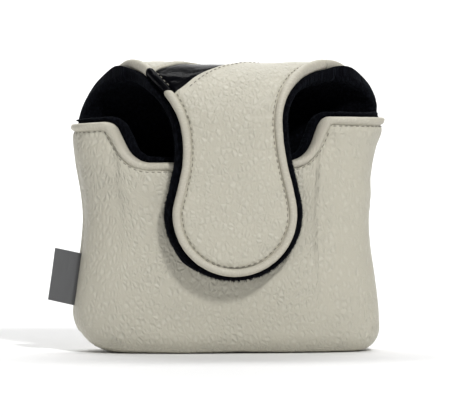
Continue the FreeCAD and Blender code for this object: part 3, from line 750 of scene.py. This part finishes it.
def front_binding():
    """The rolled leather edge of the mouth, creased across where it bends."""
    rings = []
    for across, depth in SECTION:
        z = mouth_heights(across)
        rings.append(pouch_point(z, front_angle(z), depth, -1))
    rings = np.array(rings).transpose(1, 0, 2)
    middle = rings.mean(axis=1, keepdims=True)
    along = mouth_distance(middle[..., 0], middle[..., 2])[1]
    crease = flat_noise(along / 1.7, 0 * along, 6.4)
    swell = 1 + 0.05 * crease + 0.03 * flat_noise(along / 9, 0 * along, 2.2)
    rings = middle + (rings - middle) * swell[..., None]
    uv = np.stack(np.broadcast_arrays(along, AROUND), -1)
    piece = tube_mesh("front_rim_roll", rings, uv, "cream_leather", "binding_leather")
    attach(piece, "pouch", ["front_rim_binding"])


def front_stitches():
    """Lock stitches just below the mouth's binding."""
    sunk = front_grid(0.0, STITCH_SET_IN, 1.0)
    line, out = sunk[-1], surface_normals(sunk)[-1]
    keep = np.abs(line[:, 1]) > 6
    places = stitches_along(line[keep] + out[keep] * THREAD * 0.4, out[keep])
    piece = stitch_mesh("front_rim_stitches", places, "thread")
    attach(piece, "pouch", ["front_rim_stitching"])


def lip_insets(e, proud=0.0):
    """Outer and inner inset of a plush layer at a distance e from its edge: a round, slightly swollen lip."""
    half = 2.0 * np.sqrt(np.clip(1 - (1 - np.minimum(e, 2.0) / 2.0) ** 2, 0, 1))
    swell = 0.9 * near(np.abs(e - 2.2), 2.2) - 0.5 * near(np.abs(e - 7), 2.5)
    middle = (PLUSH_OUT + PLUSH_IN) / 2
    return middle - half - proud * near(e, 2.2), middle + half + swell * smooth(e / 1.5)


def furred(grid, seed, depth=0.32):
    """A plush surface's uneven pile."""
    out = surface_normals(grid)
    tufts = noise_at(grid, 1.3, seed) + 0.6 * noise_at(grid, 0.6, seed + 9)
    lumps = noise_at(grid, (13, 13, 9), seed + 4)
    return grid + out * (depth * tufts + 0.9 * lumps)[..., None]


def front_lining():
    """The front's plush, which stands a little above the binding with a round edge."""
    grids = []
    tops = [mouth_heights(-LIP_RISE + e) for e in LIP[::-1]]
    for which, inset in enumerate((PLUSH_OUT, PLUSH_IN)):
        rows = base_rows(inset, level_angles, -1, BASE_SHARES, BASE_TURNS)
        foot = rows[-1][0, 2]
        top = tops[0]
        for t in np.linspace(0, 1, 70)[1:-1]:
            z = foot + (top - foot) * t
            e = LIP[-1] + (top - z)
            depth = lip_insets(e)[which]
            rows.append(pouch_point(z, front_angle(z), depth, -1))
        for e, z in zip(LIP[::-1], tops):
            depth = lip_insets(np.full(len(z), e), 1.2)[which]
            rows.append(pouch_point(z, front_angle(z), depth, -1))
        grids.append(np.array(rows))
    outer, inner = grids[0], furred(grids[1], 2.0)
    outer[-len(LIP) - 3:] = furred(outer, 5.0, 0.25)[-len(LIP) - 3:]
    piece = layer_mesh("front_lining", outer, inner, flat_lengths(outer), "black_plush")
    attach(piece, "pouch", ["front_plush_lining"])


# ---- The back, the fold and the flap ----
def stripe_x(side, v):
    return curve_at(STRIPE_RIGHT if side > 0 else STRIPE_LEFT, v)


def stripe_at(side, v):
    return float(stripe_x(side, v))


def row_height(v):
    """The height of the back's row at v."""
    over = v + QUARTER if v < -QUARTER else FOLD_RADIUS * math.cos(v / FOLD_RADIUS)
    return float(SIDE_HEIGHT + over)


def plush_out(side, v):
    """How far the plush stands out of the binding at v."""
    wide = PLUSH_LEFT if side < 0 else PLUSH_RIGHT
    low = (wide - PLUSH_FOLD) * float(smooth((v - 8) / 30))
    return PLUSH_FOLD + low + (PLUSH_SHOULDER - PLUSH_FOLD) * float(smooth((8 - v) / 15))


def edge_distance(x, v):
    """How far a point of the sheet is from the sheet's edge."""
    gaps = []
    for side, points in ((-1, LEFT_EDGE), (1, RIGHT_EDGE)):
        slope = curve_at(points, v + 0.5) - curve_at(points, v - 0.5)
        gaps.append(side * (curve_at(points, v) - x) / np.sqrt(1 + slope**2))
    sides = np.minimum(*gaps)
    sides = np.where(v < SPRING, 40.0, sides)  # below the shoulders there is no free edge near
    return np.where(v > BULB_V, BULB_RADIUS - np.hypot(x - BULB_X, v - BULB_V), sides)


def stripe_distance(x, v):
    """How far outside the stripe a point is. Inside the stripe it is negative."""
    lean = 0.70  # the edges run at about 45 degrees
    return np.maximum(stripe_x(-1, v) - x, x - stripe_x(1, v)) * lean


def sheet_relief(x, v, slot):
    """How far the leather stands out of the plain sheet: cream, or the sunken patent stripe."""
    e = edge_distance(x, v) - BINDING_WIDTH
    s = stripe_distance(x, v)
    fine = flat_noise(v / 2.7, e / 9, 4.4) * near(e, 9) * smooth(e / 1.0)
    broad = flat_noise(x / 20, v / 24, 2.6)
    dents = flat_noise(x / 7, v / 7, 7.5)
    # In millimetres: wrinkles, broad waves and dents, then the binding's seam and the padding.
    relief = 0.36 * fine + 0.55 * broad * smooth(e / 8) + 0.16 * dents
    relief = relief - 0.9 * near(e, 1.3) + 0.5 * smooth(e / 12)
    if slot == "cream_leather":
        return relief + (0.55 * near(s, 3.0) - 0.75 * near(s, 0.35)) * smooth(s / 0.1 + 1)
    pleats = flat_noise((x + v) / 2.6, s / 6, 9.1) * near(np.minimum(-s, e + 2), 4)
    return relief - 0.45 + 0.3 * pleats - 0.5 * near(-s, 1.5)


def rear_point(x, v, inset):
    """A point of the sheet's rear half, given x where the row meets its outer surface. Low down it follows
    the pouch's wall, and towards the fold it lies straight in from the outer surface."""
    sag = saddle(x, v)
    turn = np.clip(v / FOLD_RADIUS, -math.pi / 2, 0)
    arc = SIDE_HEIGHT + (FOLD_RADIUS - sag) * np.cos(turn)
    z = np.where(v > -QUARTER, arc, SIDE_HEIGHT + v + QUARTER)
    angle = angle_at(x, z, 1)
    angle = np.where(x < 0, math.pi - angle, angle)
    outside = pouch_point(z, angle, sag, 1)
    inward = np.stack([0 * turn, np.sin(turn), -np.cos(turn)], -1) + 0 * outside
    depth = np.asarray(inset) + 0 * x
    straight = outside + inward * depth[..., None]
    wall = pouch_point(z - depth * np.cos(turn), angle, inset + sag, 1)
    share = smooth((v - SPRING + 10) / 14)[..., None]
    low = wall * (1 - share) + straight * share
    return np.where((v < -FOLD_RADIUS * math.pi / 4)[..., None], low, sheet_point(x, v, inset))


def wall_x(v, right, left, shares):
    """X of evenly spaced points across a row of the back, from its right limit to its left one."""
    z = row_height(v)
    if v > -FOLD_RADIUS * math.pi / 4:
        return right + (left - right) * shares
    angles = []
    for x in (right, left):
        a = float(angle_at(np.array(x), z, 1))
        angles.append(math.pi - a if x < 0 else a)
    spread = even_angles(z, angles[0], angles[1], shares, 1)
    return pouch_point(np.full(len(spread), z), spread, 0.0, 1)[:, 0]


def rear_limit(side, v, inset):
    """The back panel's limit at v: the side seam low down, and the shoulder's free edge above the mouth."""
    seam = float(half_width(np.array(row_height(v)), 0.0)) - 1e-4
    share = float(smooth((v - SPRING + 6) / 6))
    free = abs(edge_at(side, max(v, SPRING), inset))
    return side * (seam * (1 - share) + min(free, seam) * share)


def rear_columns(v, right, left):
    """X of one row's points: columns evenly across the whole row, held within two limits."""
    limits = [rear_limit(side, v, PANEL_EDGE) for side in (1, -1)]
    return np.clip(wall_x(v, *limits, np.linspace(0, 1, REAR_COLUMNS)), left, right)


def rear_normals(x, v):
    return unit(rear_point(x, v, -1.0) - rear_point(x, v, 0.0))


def rear_base(inset, columns=REAR_COLUMNS):
    """The back panel's share of the base, from the seam out and round its edge."""
    angles = even_angles(BASE_EDGE_RADIUS, 0, math.pi, np.linspace(0, 1, columns), 1)
    return np.array(base_rows(inset, lambda z: angles, 1, BASE_SHARES, BASE_TURNS[:-1]))


def seam_tuck(grid):
    """How far the side seams and the base's seam are pulled in, as a relief."""
    return -1.5 * near(np.abs(grid[..., 1]), 2.0) * (grid[..., 2] < MOUTH_HEIGHT)


def rear_panels():
    """The rear leather: the large left part, the stripe, and the right part above the stripe."""
    def limit(side):
        return lambda v: rear_limit(side, v, PANEL_EDGE)

    def at_stripe(side, over):
        return lambda v: min(stripe_at(side, v) + over, rear_limit(1, v, PANEL_EDGE))

    strips = (
        ("rear_leather_left", at_stripe(-1, -STRIPE_LAP), limit(-1), "cream_leather",
         ["back_leather_left", "bridge_leather_corner"]),
        ("rear_stripe", at_stripe(1, -STRIPE_LAP), at_stripe(-1, STRIPE_LAP), "black_patent",
         ["back_stripe", "bridge_stripe"]),
        ("rear_leather_right", limit(1), at_stripe(1, STRIPE_LAP), "cream_leather", ["back_leather_right"]),
    )
    for name, right, left, slot, nodes in strips:
        rows = np.array([v for v in REAR_ROWS if right(v) - left(v) > 0.4])
        xs = np.array([rear_columns(v, right(v), left(v)) for v in rows])
        vs = np.repeat(rows[:, None], REAR_COLUMNS, 1)
        outer, inner = rear_point(xs, vs, 0.0), rear_point(xs, vs, LEATHER_IN)
        relief = sheet_relief(xs, vs, slot) + seam_tuck(outer)
        out = rear_normals(xs, vs)
        outer, inner = outer + out * relief[..., None], inner + out * relief[..., None]
        if name == "rear_leather_left":
            outer = np.concatenate([rear_base(0.0), outer])
            inner = np.concatenate([rear_base(LEATHER_IN), inner])
            base = len(BASE_SHARES) + len(BASE_TURNS) - 1
            outer[:base] += (surface_normals(outer) * seam_tuck(outer)[..., None])[:base]
        uv = np.stack([outer[..., 0], outer[..., 2] - 0.6 * outer[..., 1]], -1)
        piece = layer_mesh(name, outer, inner, uv, slot, flip=True)
        weld(piece)
        attach(piece, "rear", nodes)


def bend(first, last):
    """Two points of the sheet's middle in metres, at v first and last."""
    middle = np.array(0.0)
    return tuple(tuple(float(c) * MM for c in sheet_point(middle, np.array(v), 4.0)) for v in (first, last))


REAR_BEND = bend(-37.0, -4.0)
FRONT_BEND = bend(4.0, 37.0)


def rear_soft(name, insets, slot, nodes, columns=SOFT_COLUMNS):
    """A soft layer under the rear leather: foam, or plush with a round lip along its free edges."""
    lip = slot == "black_plush"
    rows = REAR_ROWS[::2]
    shares = np.linspace(0, 1, columns)
    xs = []
    for v in rows:
        limits = [rear_limit(side, v, -plush_out(side, v) if lip else PANEL_EDGE + 1) for side in (1, -1)]
        x = wall_x(v, *limits, shares)
        if lip and v > SPRING - 3:
            right, left = limits
            middle = np.linspace(right - LIP[-1], left + LIP[-1], columns - 2 * len(LIP) + 2)
            x = np.concatenate([right - LIP[:-1], middle, left + LIP[:-1][::-1]])
        xs.append(x)
    xs = np.array(xs)
    vs = np.repeat(rows[:, None], columns, 1)
    if lip:
        out = np.array([[plush_out(1, v)] for v in rows])
        e = np.maximum(edge_distance(xs, np.maximum(vs, SPRING)) + out, 0)
        e = np.where(vs < SPRING - 3, 20.0, e)
        depths = lip_insets(e, lip_swell(vs))
    else:
        depths = [np.full(xs.shape, float(i)) for i in insets]
    outer, inner = (np.concatenate([rear_base(inset, columns), rear_point(xs, vs, depth)])
                    for inset, depth in zip(insets, depths))
    if lip:
        inner = furred(inner, 3.0)
    piece = layer_mesh(name, outer, inner, flat_lengths(outer), slot, flip=True)
    attach(piece, "rear", nodes)


def front_sheet_grid(left, right, columns, rows, radius_at, share_of=None):
    """X, v and the distance from the rim, for a grid over the fold's front half and the flap with its round
    end."""
    shares = np.linspace(0, 1, columns) if share_of is None else share_of
    vs = np.linspace(0.0, BULB_V, rows)
    limits = np.array([(left(v), right(v)) for v in vs])
    xs = limits[:, :1] + (limits[:, 1:] - limits[:, :1]) * shares
    vv = np.repeat(vs[:, None], columns, 1)
    gap = np.minimum(xs - limits[:, :1], limits[:, 1:] - xs)
    theta = math.pi * (1 - shares)
    radius = np.array([radius_at(t) for t in theta])
    rim = np.stack([BULB_X + radius * np.cos(theta), BULB_V + radius * np.sin(theta)], -1)
    foot = xs[-1]
    for t in np.concatenate([np.linspace(0, 0.94, 38)[1:], 1 - LIP[::-1] / 26]):
        x, v = (1 - t) * foot + t * rim[:, 0], (1 - t) * BULB_V + t * rim[:, 1]
        around = np.arctan2(v - BULB_V, x - BULB_X)
        edge = np.interp(around, theta[::-1], radius[::-1])
        xs, vv = np.concatenate([xs, [x]]), np.concatenate([vv, [v]])
        gap = np.concatenate([gap, [np.maximum(edge - np.hypot(x - BULB_X, v - BULB_V), 0)]])
    return xs, vv, gap


def weld(piece):
    """Joins the points that fall together where rows meet, and turns all faces outward."""
    work = bmesh.new()
    work.from_mesh(piece.data)
    bmesh.ops.remove_doubles(work, verts=work.verts, dist=2e-6)
    bmesh.ops.recalc_face_normals(work, faces=work.faces)
    work.to_mesh(piece.data)
    work.free()


def front_panels():
    """The leather of the fold's front half and the flap, the stripe between, and the small cream corner."""
    def inner_left(v):
        return edge_at(-1, v, PANEL_EDGE)

    def main_left(v):
        return max(inner_left(v), stripe_at(1, v) - STRIPE_LAP) if v < 36 else inner_left(v)

    def strip(last, count, columns, low, high):
        """Xs and vs from the fold's top down between two limits, as far as these are apart."""
        rows = np.array([v for v in np.linspace(0, last, count) if high(v) - low(v) > 0.3])
        shares = np.linspace(0, 1, columns)
        xs = np.array([low(v) + (high(v) - low(v)) * shares for v in rows])
        return xs, np.repeat(rows[:, None], columns, 1)

    main = front_sheet_grid(main_left, lambda v: edge_at(1, v, PANEL_EDGE), 85, 128,
                            lambda theta: BULB_RADIUS - PANEL_EDGE)[:2]
    stripe = strip(40, 61, 41, lambda v: max(inner_left(v), stripe_at(-1, v) - CORNER_LAP),
                   lambda v: stripe_at(1, v) + CORNER_LAP)
    corner = strip(20, 31, 25, inner_left, lambda v: stripe_at(-1, v) + STRIPE_LAP)
    strips = (
        ("flap_leather", *main, "cream_leather", ["flap_leather_panel", "bridge_leather_main"]),
        ("fold_stripe", *stripe, "black_patent", ["flap_stripe_tip"]),
        ("fold_corner", *corner, "cream_leather", []),
    )
    for name, xs, vs, slot, nodes in strips:
        relief = sheet_relief(xs, vs, slot)
        outer = sheet_point(xs, vs, -relief)
        inner = sheet_point(xs, vs, LEATHER_IN - relief)
        piece = layer_mesh(name, outer, inner, np.stack([xs, vs], -1), slot)
        weld(piece)
        attach(piece, "front", nodes)


def plush_edge(side, v):
    return edge_at(side, v, -plush_out(side, v))


def plush_radius(theta):
    """Radius of the plush round the bulb, in the direction theta of the flat sheet."""
    wide = PLUSH_LEFT if theta > math.pi / 2 else PLUSH_RIGHT
    return BULB_RADIUS + PLUSH_TIP + (wide - PLUSH_TIP) * abs(math.cos(theta)) ** 1.3


def flap_foam():
    """The padding of the fold's front half and the flap."""
    inset = PANEL_EDGE + 1
    xs, vs, _ = front_sheet_grid(lambda v: edge_at(-1, v, inset), lambda v: edge_at(1, v, inset), 41, 60,
                                 lambda theta: BULB_RADIUS - inset)
    outer, inner = sheet_point(xs, vs, FOAM_OUT), sheet_point(xs, vs, FOAM_IN)
    piece = layer_mesh("flap_foam", outer, inner, np.stack([xs, vs], -1), "foam")
    weld(piece)
    attach(piece, "front", ["flap_foam_pad"])


def flap_lining():
    """The plush of the fold's front half and the flap, with a round lip that stands out all round."""
    columns = 61
    spread = LIP / 50
    middle = np.linspace(spread[-1], 1 - spread[-1], columns - 2 * len(LIP) + 2)
    shares = np.concatenate([spread[:-1], middle, 1 - spread[:-1][::-1]])
    xs, vs, gap = front_sheet_grid(lambda v: plush_edge(-1, v), lambda v: plush_edge(1, v), columns, 96,
                                   plush_radius, shares)
    outer, inner = (sheet_point(xs, vs, depth) for depth in lip_insets(gap, lip_swell(vs)))
    inner = furred(inner, 1.0, 0.2)
    piece = layer_mesh("flap_lining", outer, inner, np.stack([xs, vs], -1), "black_plush")
    weld(piece)
    attach(piece, "front", ["flap_plush_lining"])


def outline_point(t, inset):
    """A place (x, v) along the front sheet's outline. t runs from 0 at the left of the fold's top, by v down
    to the bulb, round it by length, and back up by v on the right."""
    turn_length = math.pi * BULB_RADIUS
    if t <= BULB_V:
        return edge_at(-1, t, inset), t
    if t >= BULB_V + turn_length:
        v = 2 * BULB_V + turn_length - t
        return edge_at(1, v, inset), v
    a = math.pi - (t - BULB_V) / BULB_RADIUS
    r = BULB_RADIUS - inset
    return BULB_X + r * math.cos(a), BULB_V + r * math.sin(a)


def lip_width(t):
    """How far the plush stands out of the flap's binding at a length t along the outline."""
    turn = (t - BULB_V) / BULB_RADIUS
    if 0 < turn < math.pi:
        return plush_radius(math.pi - turn) - BULB_RADIUS
    return plush_out(-1, t) if turn <= 0 else plush_out(1, OUTLINE - t)


def fringe():
    """Loose pile along the flap's lip: small tapering tufts, each a closed sliver."""
    pick = np.random.default_rng(7)
    points, uv, faces = [], [], []
    for _ in range(TUFTS):
        t, depth = pick.uniform(FRINGE_FROM, OUTLINE - FRINGE_FROM), pick.uniform(*FRINGE_DEPTHS)
        low = float(smooth((25 - abs(t - OUTLINE / 2 - 6)) / 30))
        long = pick.uniform(0.3, 0.8) + low * pick.uniform(0, 0.9)
        width = lip_width(t)
        rim = [(t - 0.15, depth), (t + 0.15, depth), (t, depth + 0.26)]
        corners = [(a, FRINGE_ROOT - width, b) for a, b in rim]
        corners.append((t + pick.uniform(-0.9, 0.9), -width - long, depth + pick.uniform(-0.8, 0.8)))
        first = len(points)
        for a, across, b in corners:
            x, v = outline_point(a, across)
            points.append(sheet_point(np.array(x), np.array(v), b))
            uv.append((a, across))
        faces += [tuple(first + k for k in face) for face in ((0, 2, 1), (0, 1, 3), (1, 2, 3), (2, 0, 3))]
    piece = make_mesh("flap_fringe", points, faces, uv, "black_plush")
    attach(piece, "front")


def roll_rings(point_of, ts, seed):
    """Rings of a rolled binding, from a function that gives the sheet's point for a length along, an inset
    and a depth."""
    rings = np.array([[point_of(t, across, depth) for across, depth in SECTION] for t in ts])
    middle = rings.mean(axis=1, keepdims=True)
    t = np.asarray(ts)[:, None]
    crease = flat_noise(t / 1.9, 0 * t, seed)
    swell = 1 + 0.045 * crease + 0.035 * flat_noise(t / 8, 0 * t, seed + 3)
    return middle + (rings - middle) * swell[..., None]


def roll_uv(ts):
    """Flat coordinates of a roll: the length along it, and the length round it."""
    return np.stack(np.broadcast_arrays(np.asarray(ts)[:, None], AROUND), -1)


def flap_bindings():
    """The rolled edge of the fold's front half and the flap, cream but for the stripe's black length."""
    def point_of(t, across, depth):
        x, v = outline_point(t, across)
        return sheet_point(np.array(x), np.array(v), depth)

    runs = (
        ("fold_roll_corner", 0.0, BLACK_FROM, "cream_leather", ["bridge_binding_left"]),
        ("fold_roll_black", BLACK_FROM, BLACK_TO, "black_patent",
         ["bridge_stripe_binding", "flap_stripe_binding"]),
        ("flap_roll", BLACK_TO - 0.6, OUTLINE, "cream_leather", ["flap_binding", "bridge_binding_right"]),
    )
    for name, start, end, slot, nodes in runs:
        ts = np.linspace(start, end, max(int((end - start) / 0.7), 12))
        rings = roll_rings(point_of, ts, 1.7)
        if name == "flap_roll":
            middle = rings.mean(axis=1, keepdims=True)
            round_off = np.sqrt(np.clip(1 - (1 - np.minimum((ts - start) / 1.2, 1)) ** 2, 0.02, 1))
            rings = middle + (rings - middle) * round_off[:, None, None] * 1.04
        look = "binding_leather" if slot == "cream_leather" else None
        attach(tube_mesh(name, rings, roll_uv(ts), slot, look), "front", nodes)


def shoulder_bindings():
    """The rolled edges of the back panel's shoulders, up to the fold's top."""
    ts = np.linspace(SPRING - 0.5, 0, 60)
    for side, word in ((-1, "left"), (1, "right")):
        def point_of(v, across, depth):
            x = np.array(edge_at(side, v, across))
            return rear_point(x, np.array(v), np.array(depth))

        rings = roll_rings(point_of, ts, 5.0 + side)
        piece = tube_mesh("shoulder_roll_" + word, rings, roll_uv(ts), "cream_leather", "binding_leather")
        attach(piece, "rear", ["shoulder_binding_" + word])


def sheet_stitches():
    """Lock stitches inside the bindings, and the top stitching beside the stripe."""
    def lifted(x, v, slot):
        relief = sheet_relief(x, v, slot)
        point = rear_point if v[0] < 0 else sheet_point
        line = point(x, v, -relief)
        out = unit(point(x, v, -relief - 1.0) - line)
        return line + out * THREAD * 0.4, out

    ts = np.arange(BLACK_TO + 1, OUTLINE, 0.5)
    rim = np.array([outline_point(t, STITCH_SET_IN) for t in ts])
    flap, rear = [(rim[:, 0], rim[:, 1], "cream_leather")], []
    vs = np.arange(BLACK_FROM - 12, BLACK_TO - 2, 0.5)
    stripe = [(edge_x(-1, vs, STITCH_SET_IN), vs, "black_patent")]
    vs = np.arange(0.3, 25.5, 0.5)
    flap.append((stripe_x(1, vs) + STRIPE_STITCH, vs, "cream_leather"))
    vs = np.arange(SPRING, -0.4, 0.5)
    for side in (-1, 1):
        rear.append((edge_x(side, vs, STITCH_SET_IN), vs, "cream_leather"))
    vs = np.arange(-100, -0.4, 0.5)
    for side in (-1, 1):
        x = stripe_x(side, vs) + side * STRIPE_STITCH
        keep = x < half_width(SIDE_HEIGHT + np.minimum(vs + QUARTER, 0), 0.0) - 7
        keep &= edge_distance(x, np.maximum(vs, SPRING)) > 5
        rear.append((x[keep], vs[keep], "cream_leather"))
    for name, rows, place, nodes in (("flap_stitches", flap, "front", ["flap_stitching"]),
                                     ("stripe_stitches", stripe, "front", []),
                                     ("rear_stitches", rear, "rear", [])):
        stitches = [stitch for row in rows for stitch in stitches_along(*lifted(*row))]
        attach(stitch_mesh(name, stitches, "thread"), place, nodes)


# ---- The side label ----
def side_label():
    """A folded woven tape, sewn into the left seam, that leans up and curls a little."""
    foot = np.array([-66.4, 19.9])
    head = np.array([-63.3, 42.4])
    reach = np.array([-11.4, 2.5])
    thick = 0.55
    columns, rows = 34, 40
    out, across = np.linspace(0, 1, columns), np.linspace(0, 1, rows)

    def point_of(face, w, u):
        x, z = foot + (head - foot) * w + reach * u
        curl = 0.9 * math.sin(2.4 * u + 0.8 * w) * u + 0.5 * math.sin(3.0 * w + 1.0) * u
        gape = float(thick / 2 * (1 - 0.25 * near(np.array(1 - u), 0.1)))
        rounded_end = math.sqrt(max(1 - (1 - min((1 - u) / 0.03, 1)) ** 2, 0.0))
        return x, curl + face * gape * rounded_end, z - 0.5 * u * math.sin(math.pi * w)

    outer, inner = (np.array([[point_of(face, w, u) for u in out] for w in across]) for face in (-1, 1))
    uv = np.stack(np.meshgrid(out * 12, across * 22.6), -1)
    piece = layer_mesh("side_tab", outer, inner, uv, "label_cloth")
    weld(piece)
    attach(piece, "label", ["side_label"])


def finish_nodes():
    """The pieces that stay as the part has them get their materials."""
    for name, slot in (("front_magnet", "magnet"), ("flap_magnet", "magnet"),
                       ("front_magnet_patch", "patch_cloth"), ("flap_magnet_patch", "patch_cloth")):
        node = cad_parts[name]
        node.data.materials.clear()
        node.data.materials.append(MATERIALS[slot])


front_panel()
front_foam()
front_binding()
front_stitches()
front_lining()
rear_panels()
rear_soft("rear_foam", (FOAM_OUT, FOAM_IN), "foam", ["back_foam_pad", "bridge_foam_pad"])
rear_soft("rear_lining", (PLUSH_OUT, PLUSH_IN), "black_plush", ["back_plush_lining", "bridge_plush_lining"])
front_panels()
flap_foam()
flap_lining()
fringe()
flap_bindings()
shoulder_bindings()
sheet_stitches()
side_label()
finish_nodes()


# ---- Floor, light and camera ----
def area_light(name, place, target, size, power):
    lamp = bpy.data.lights.new(name, "AREA")
    lamp.shape, lamp.size, lamp.size_y = "RECTANGLE", size[0], size[1]
    lamp.energy = power
    holder = placed(name, lamp)
    holder.location = place
    holder.rotation_euler = (Vector(target) - Vector(place)).to_track_quat("-Z", "Y").to_euler()


def backdrop():
    """A pale floor that curves up into a wall behind the cover."""
    made, tree, shader = new_material("backdrop", (0.90, 0.90, 0.90), 0.9)
    mottle = texture(tree, "Noise", own_place(tree), Scale=3.0)
    painted(tree, shader, mottle.outputs["Fac"], (0.89, 0.89, 0.89), (0.91, 0.91, 0.91))
    turns = np.linspace(0.1, math.pi / 2, 12)
    profile = [(-3.0, 0.0), (1.0, 0.0)]
    profile += [(1.0 + 0.8 * math.sin(a), 0.8 - 0.8 * math.cos(a)) for a in turns]
    profile += [(1.8, 3.0)]
    points = [(x, y, z - 0.0001) for y, z in profile for x in (-4.0, 4.0)]
    mesh = bpy.data.meshes.new("backdrop")
    mesh.from_pydata(points, [], grid_faces(len(profile), 2))
    mesh.polygons.foreach_set("use_smooth", [True] * len(mesh.polygons))
    mesh.materials.append(made)
    placed("backdrop", mesh)


def camera():
    """Far off, a touch above level and left of the middle, so that near parts stand a little to the right."""
    azimuth, elevation, distance = math.radians(-4.0), math.radians(2.0), 1.3
    picture_width = 0.1948  # metres across the picture at the cover
    target = Vector((-0.0012, 0, 0.0616))
    flat = math.cos(elevation)
    ray = Vector((math.sin(azimuth) * flat, -math.cos(azimuth) * flat, math.sin(elevation)))
    lens = bpy.data.cameras.new("camera")
    lens.sensor_width = 36.0
    lens.lens = 36.0 * distance / picture_width
    lens.clip_end = 50
    eye = placed("camera", lens)
    eye.location = target + ray * distance
    eye.rotation_euler = (-ray).to_track_quat("-Z", "Y").to_euler()
    bpy.context.scene.camera = eye


def studio():
    """A dim even sky, a small key light from the right, and soft ones for the top, the left and the wall."""
    world = bpy.data.worlds.new("studio")
    world.use_nodes = True
    sky = world.node_tree.nodes["Background"]
    sky.inputs["Color"].default_value = (1, 1, 1, 1)
    sky.inputs["Strength"].default_value = 0.105
    bpy.context.scene.world = world
    bpy.context.scene.view_settings.view_transform = "Standard"
    area_light("top", (0.12, -0.40, 0.85), (0, 0, 0.07), (0.55, 0.4), 0.8)
    area_light("key", (0.40, -1.05, 1.10), (0, 0, 0.06), (0.14, 0.14), 13.4)
    area_light("fill", (-0.9, -1.1, 0.3), (0, 0, 0.06), (0.6, 0.6), 1.4)
    area_light("wall", (0, 0.6, 1.8), (0, 1.8, 0.6), (2.0, 0.8), 45.0)


backdrop()
camera()
studio()
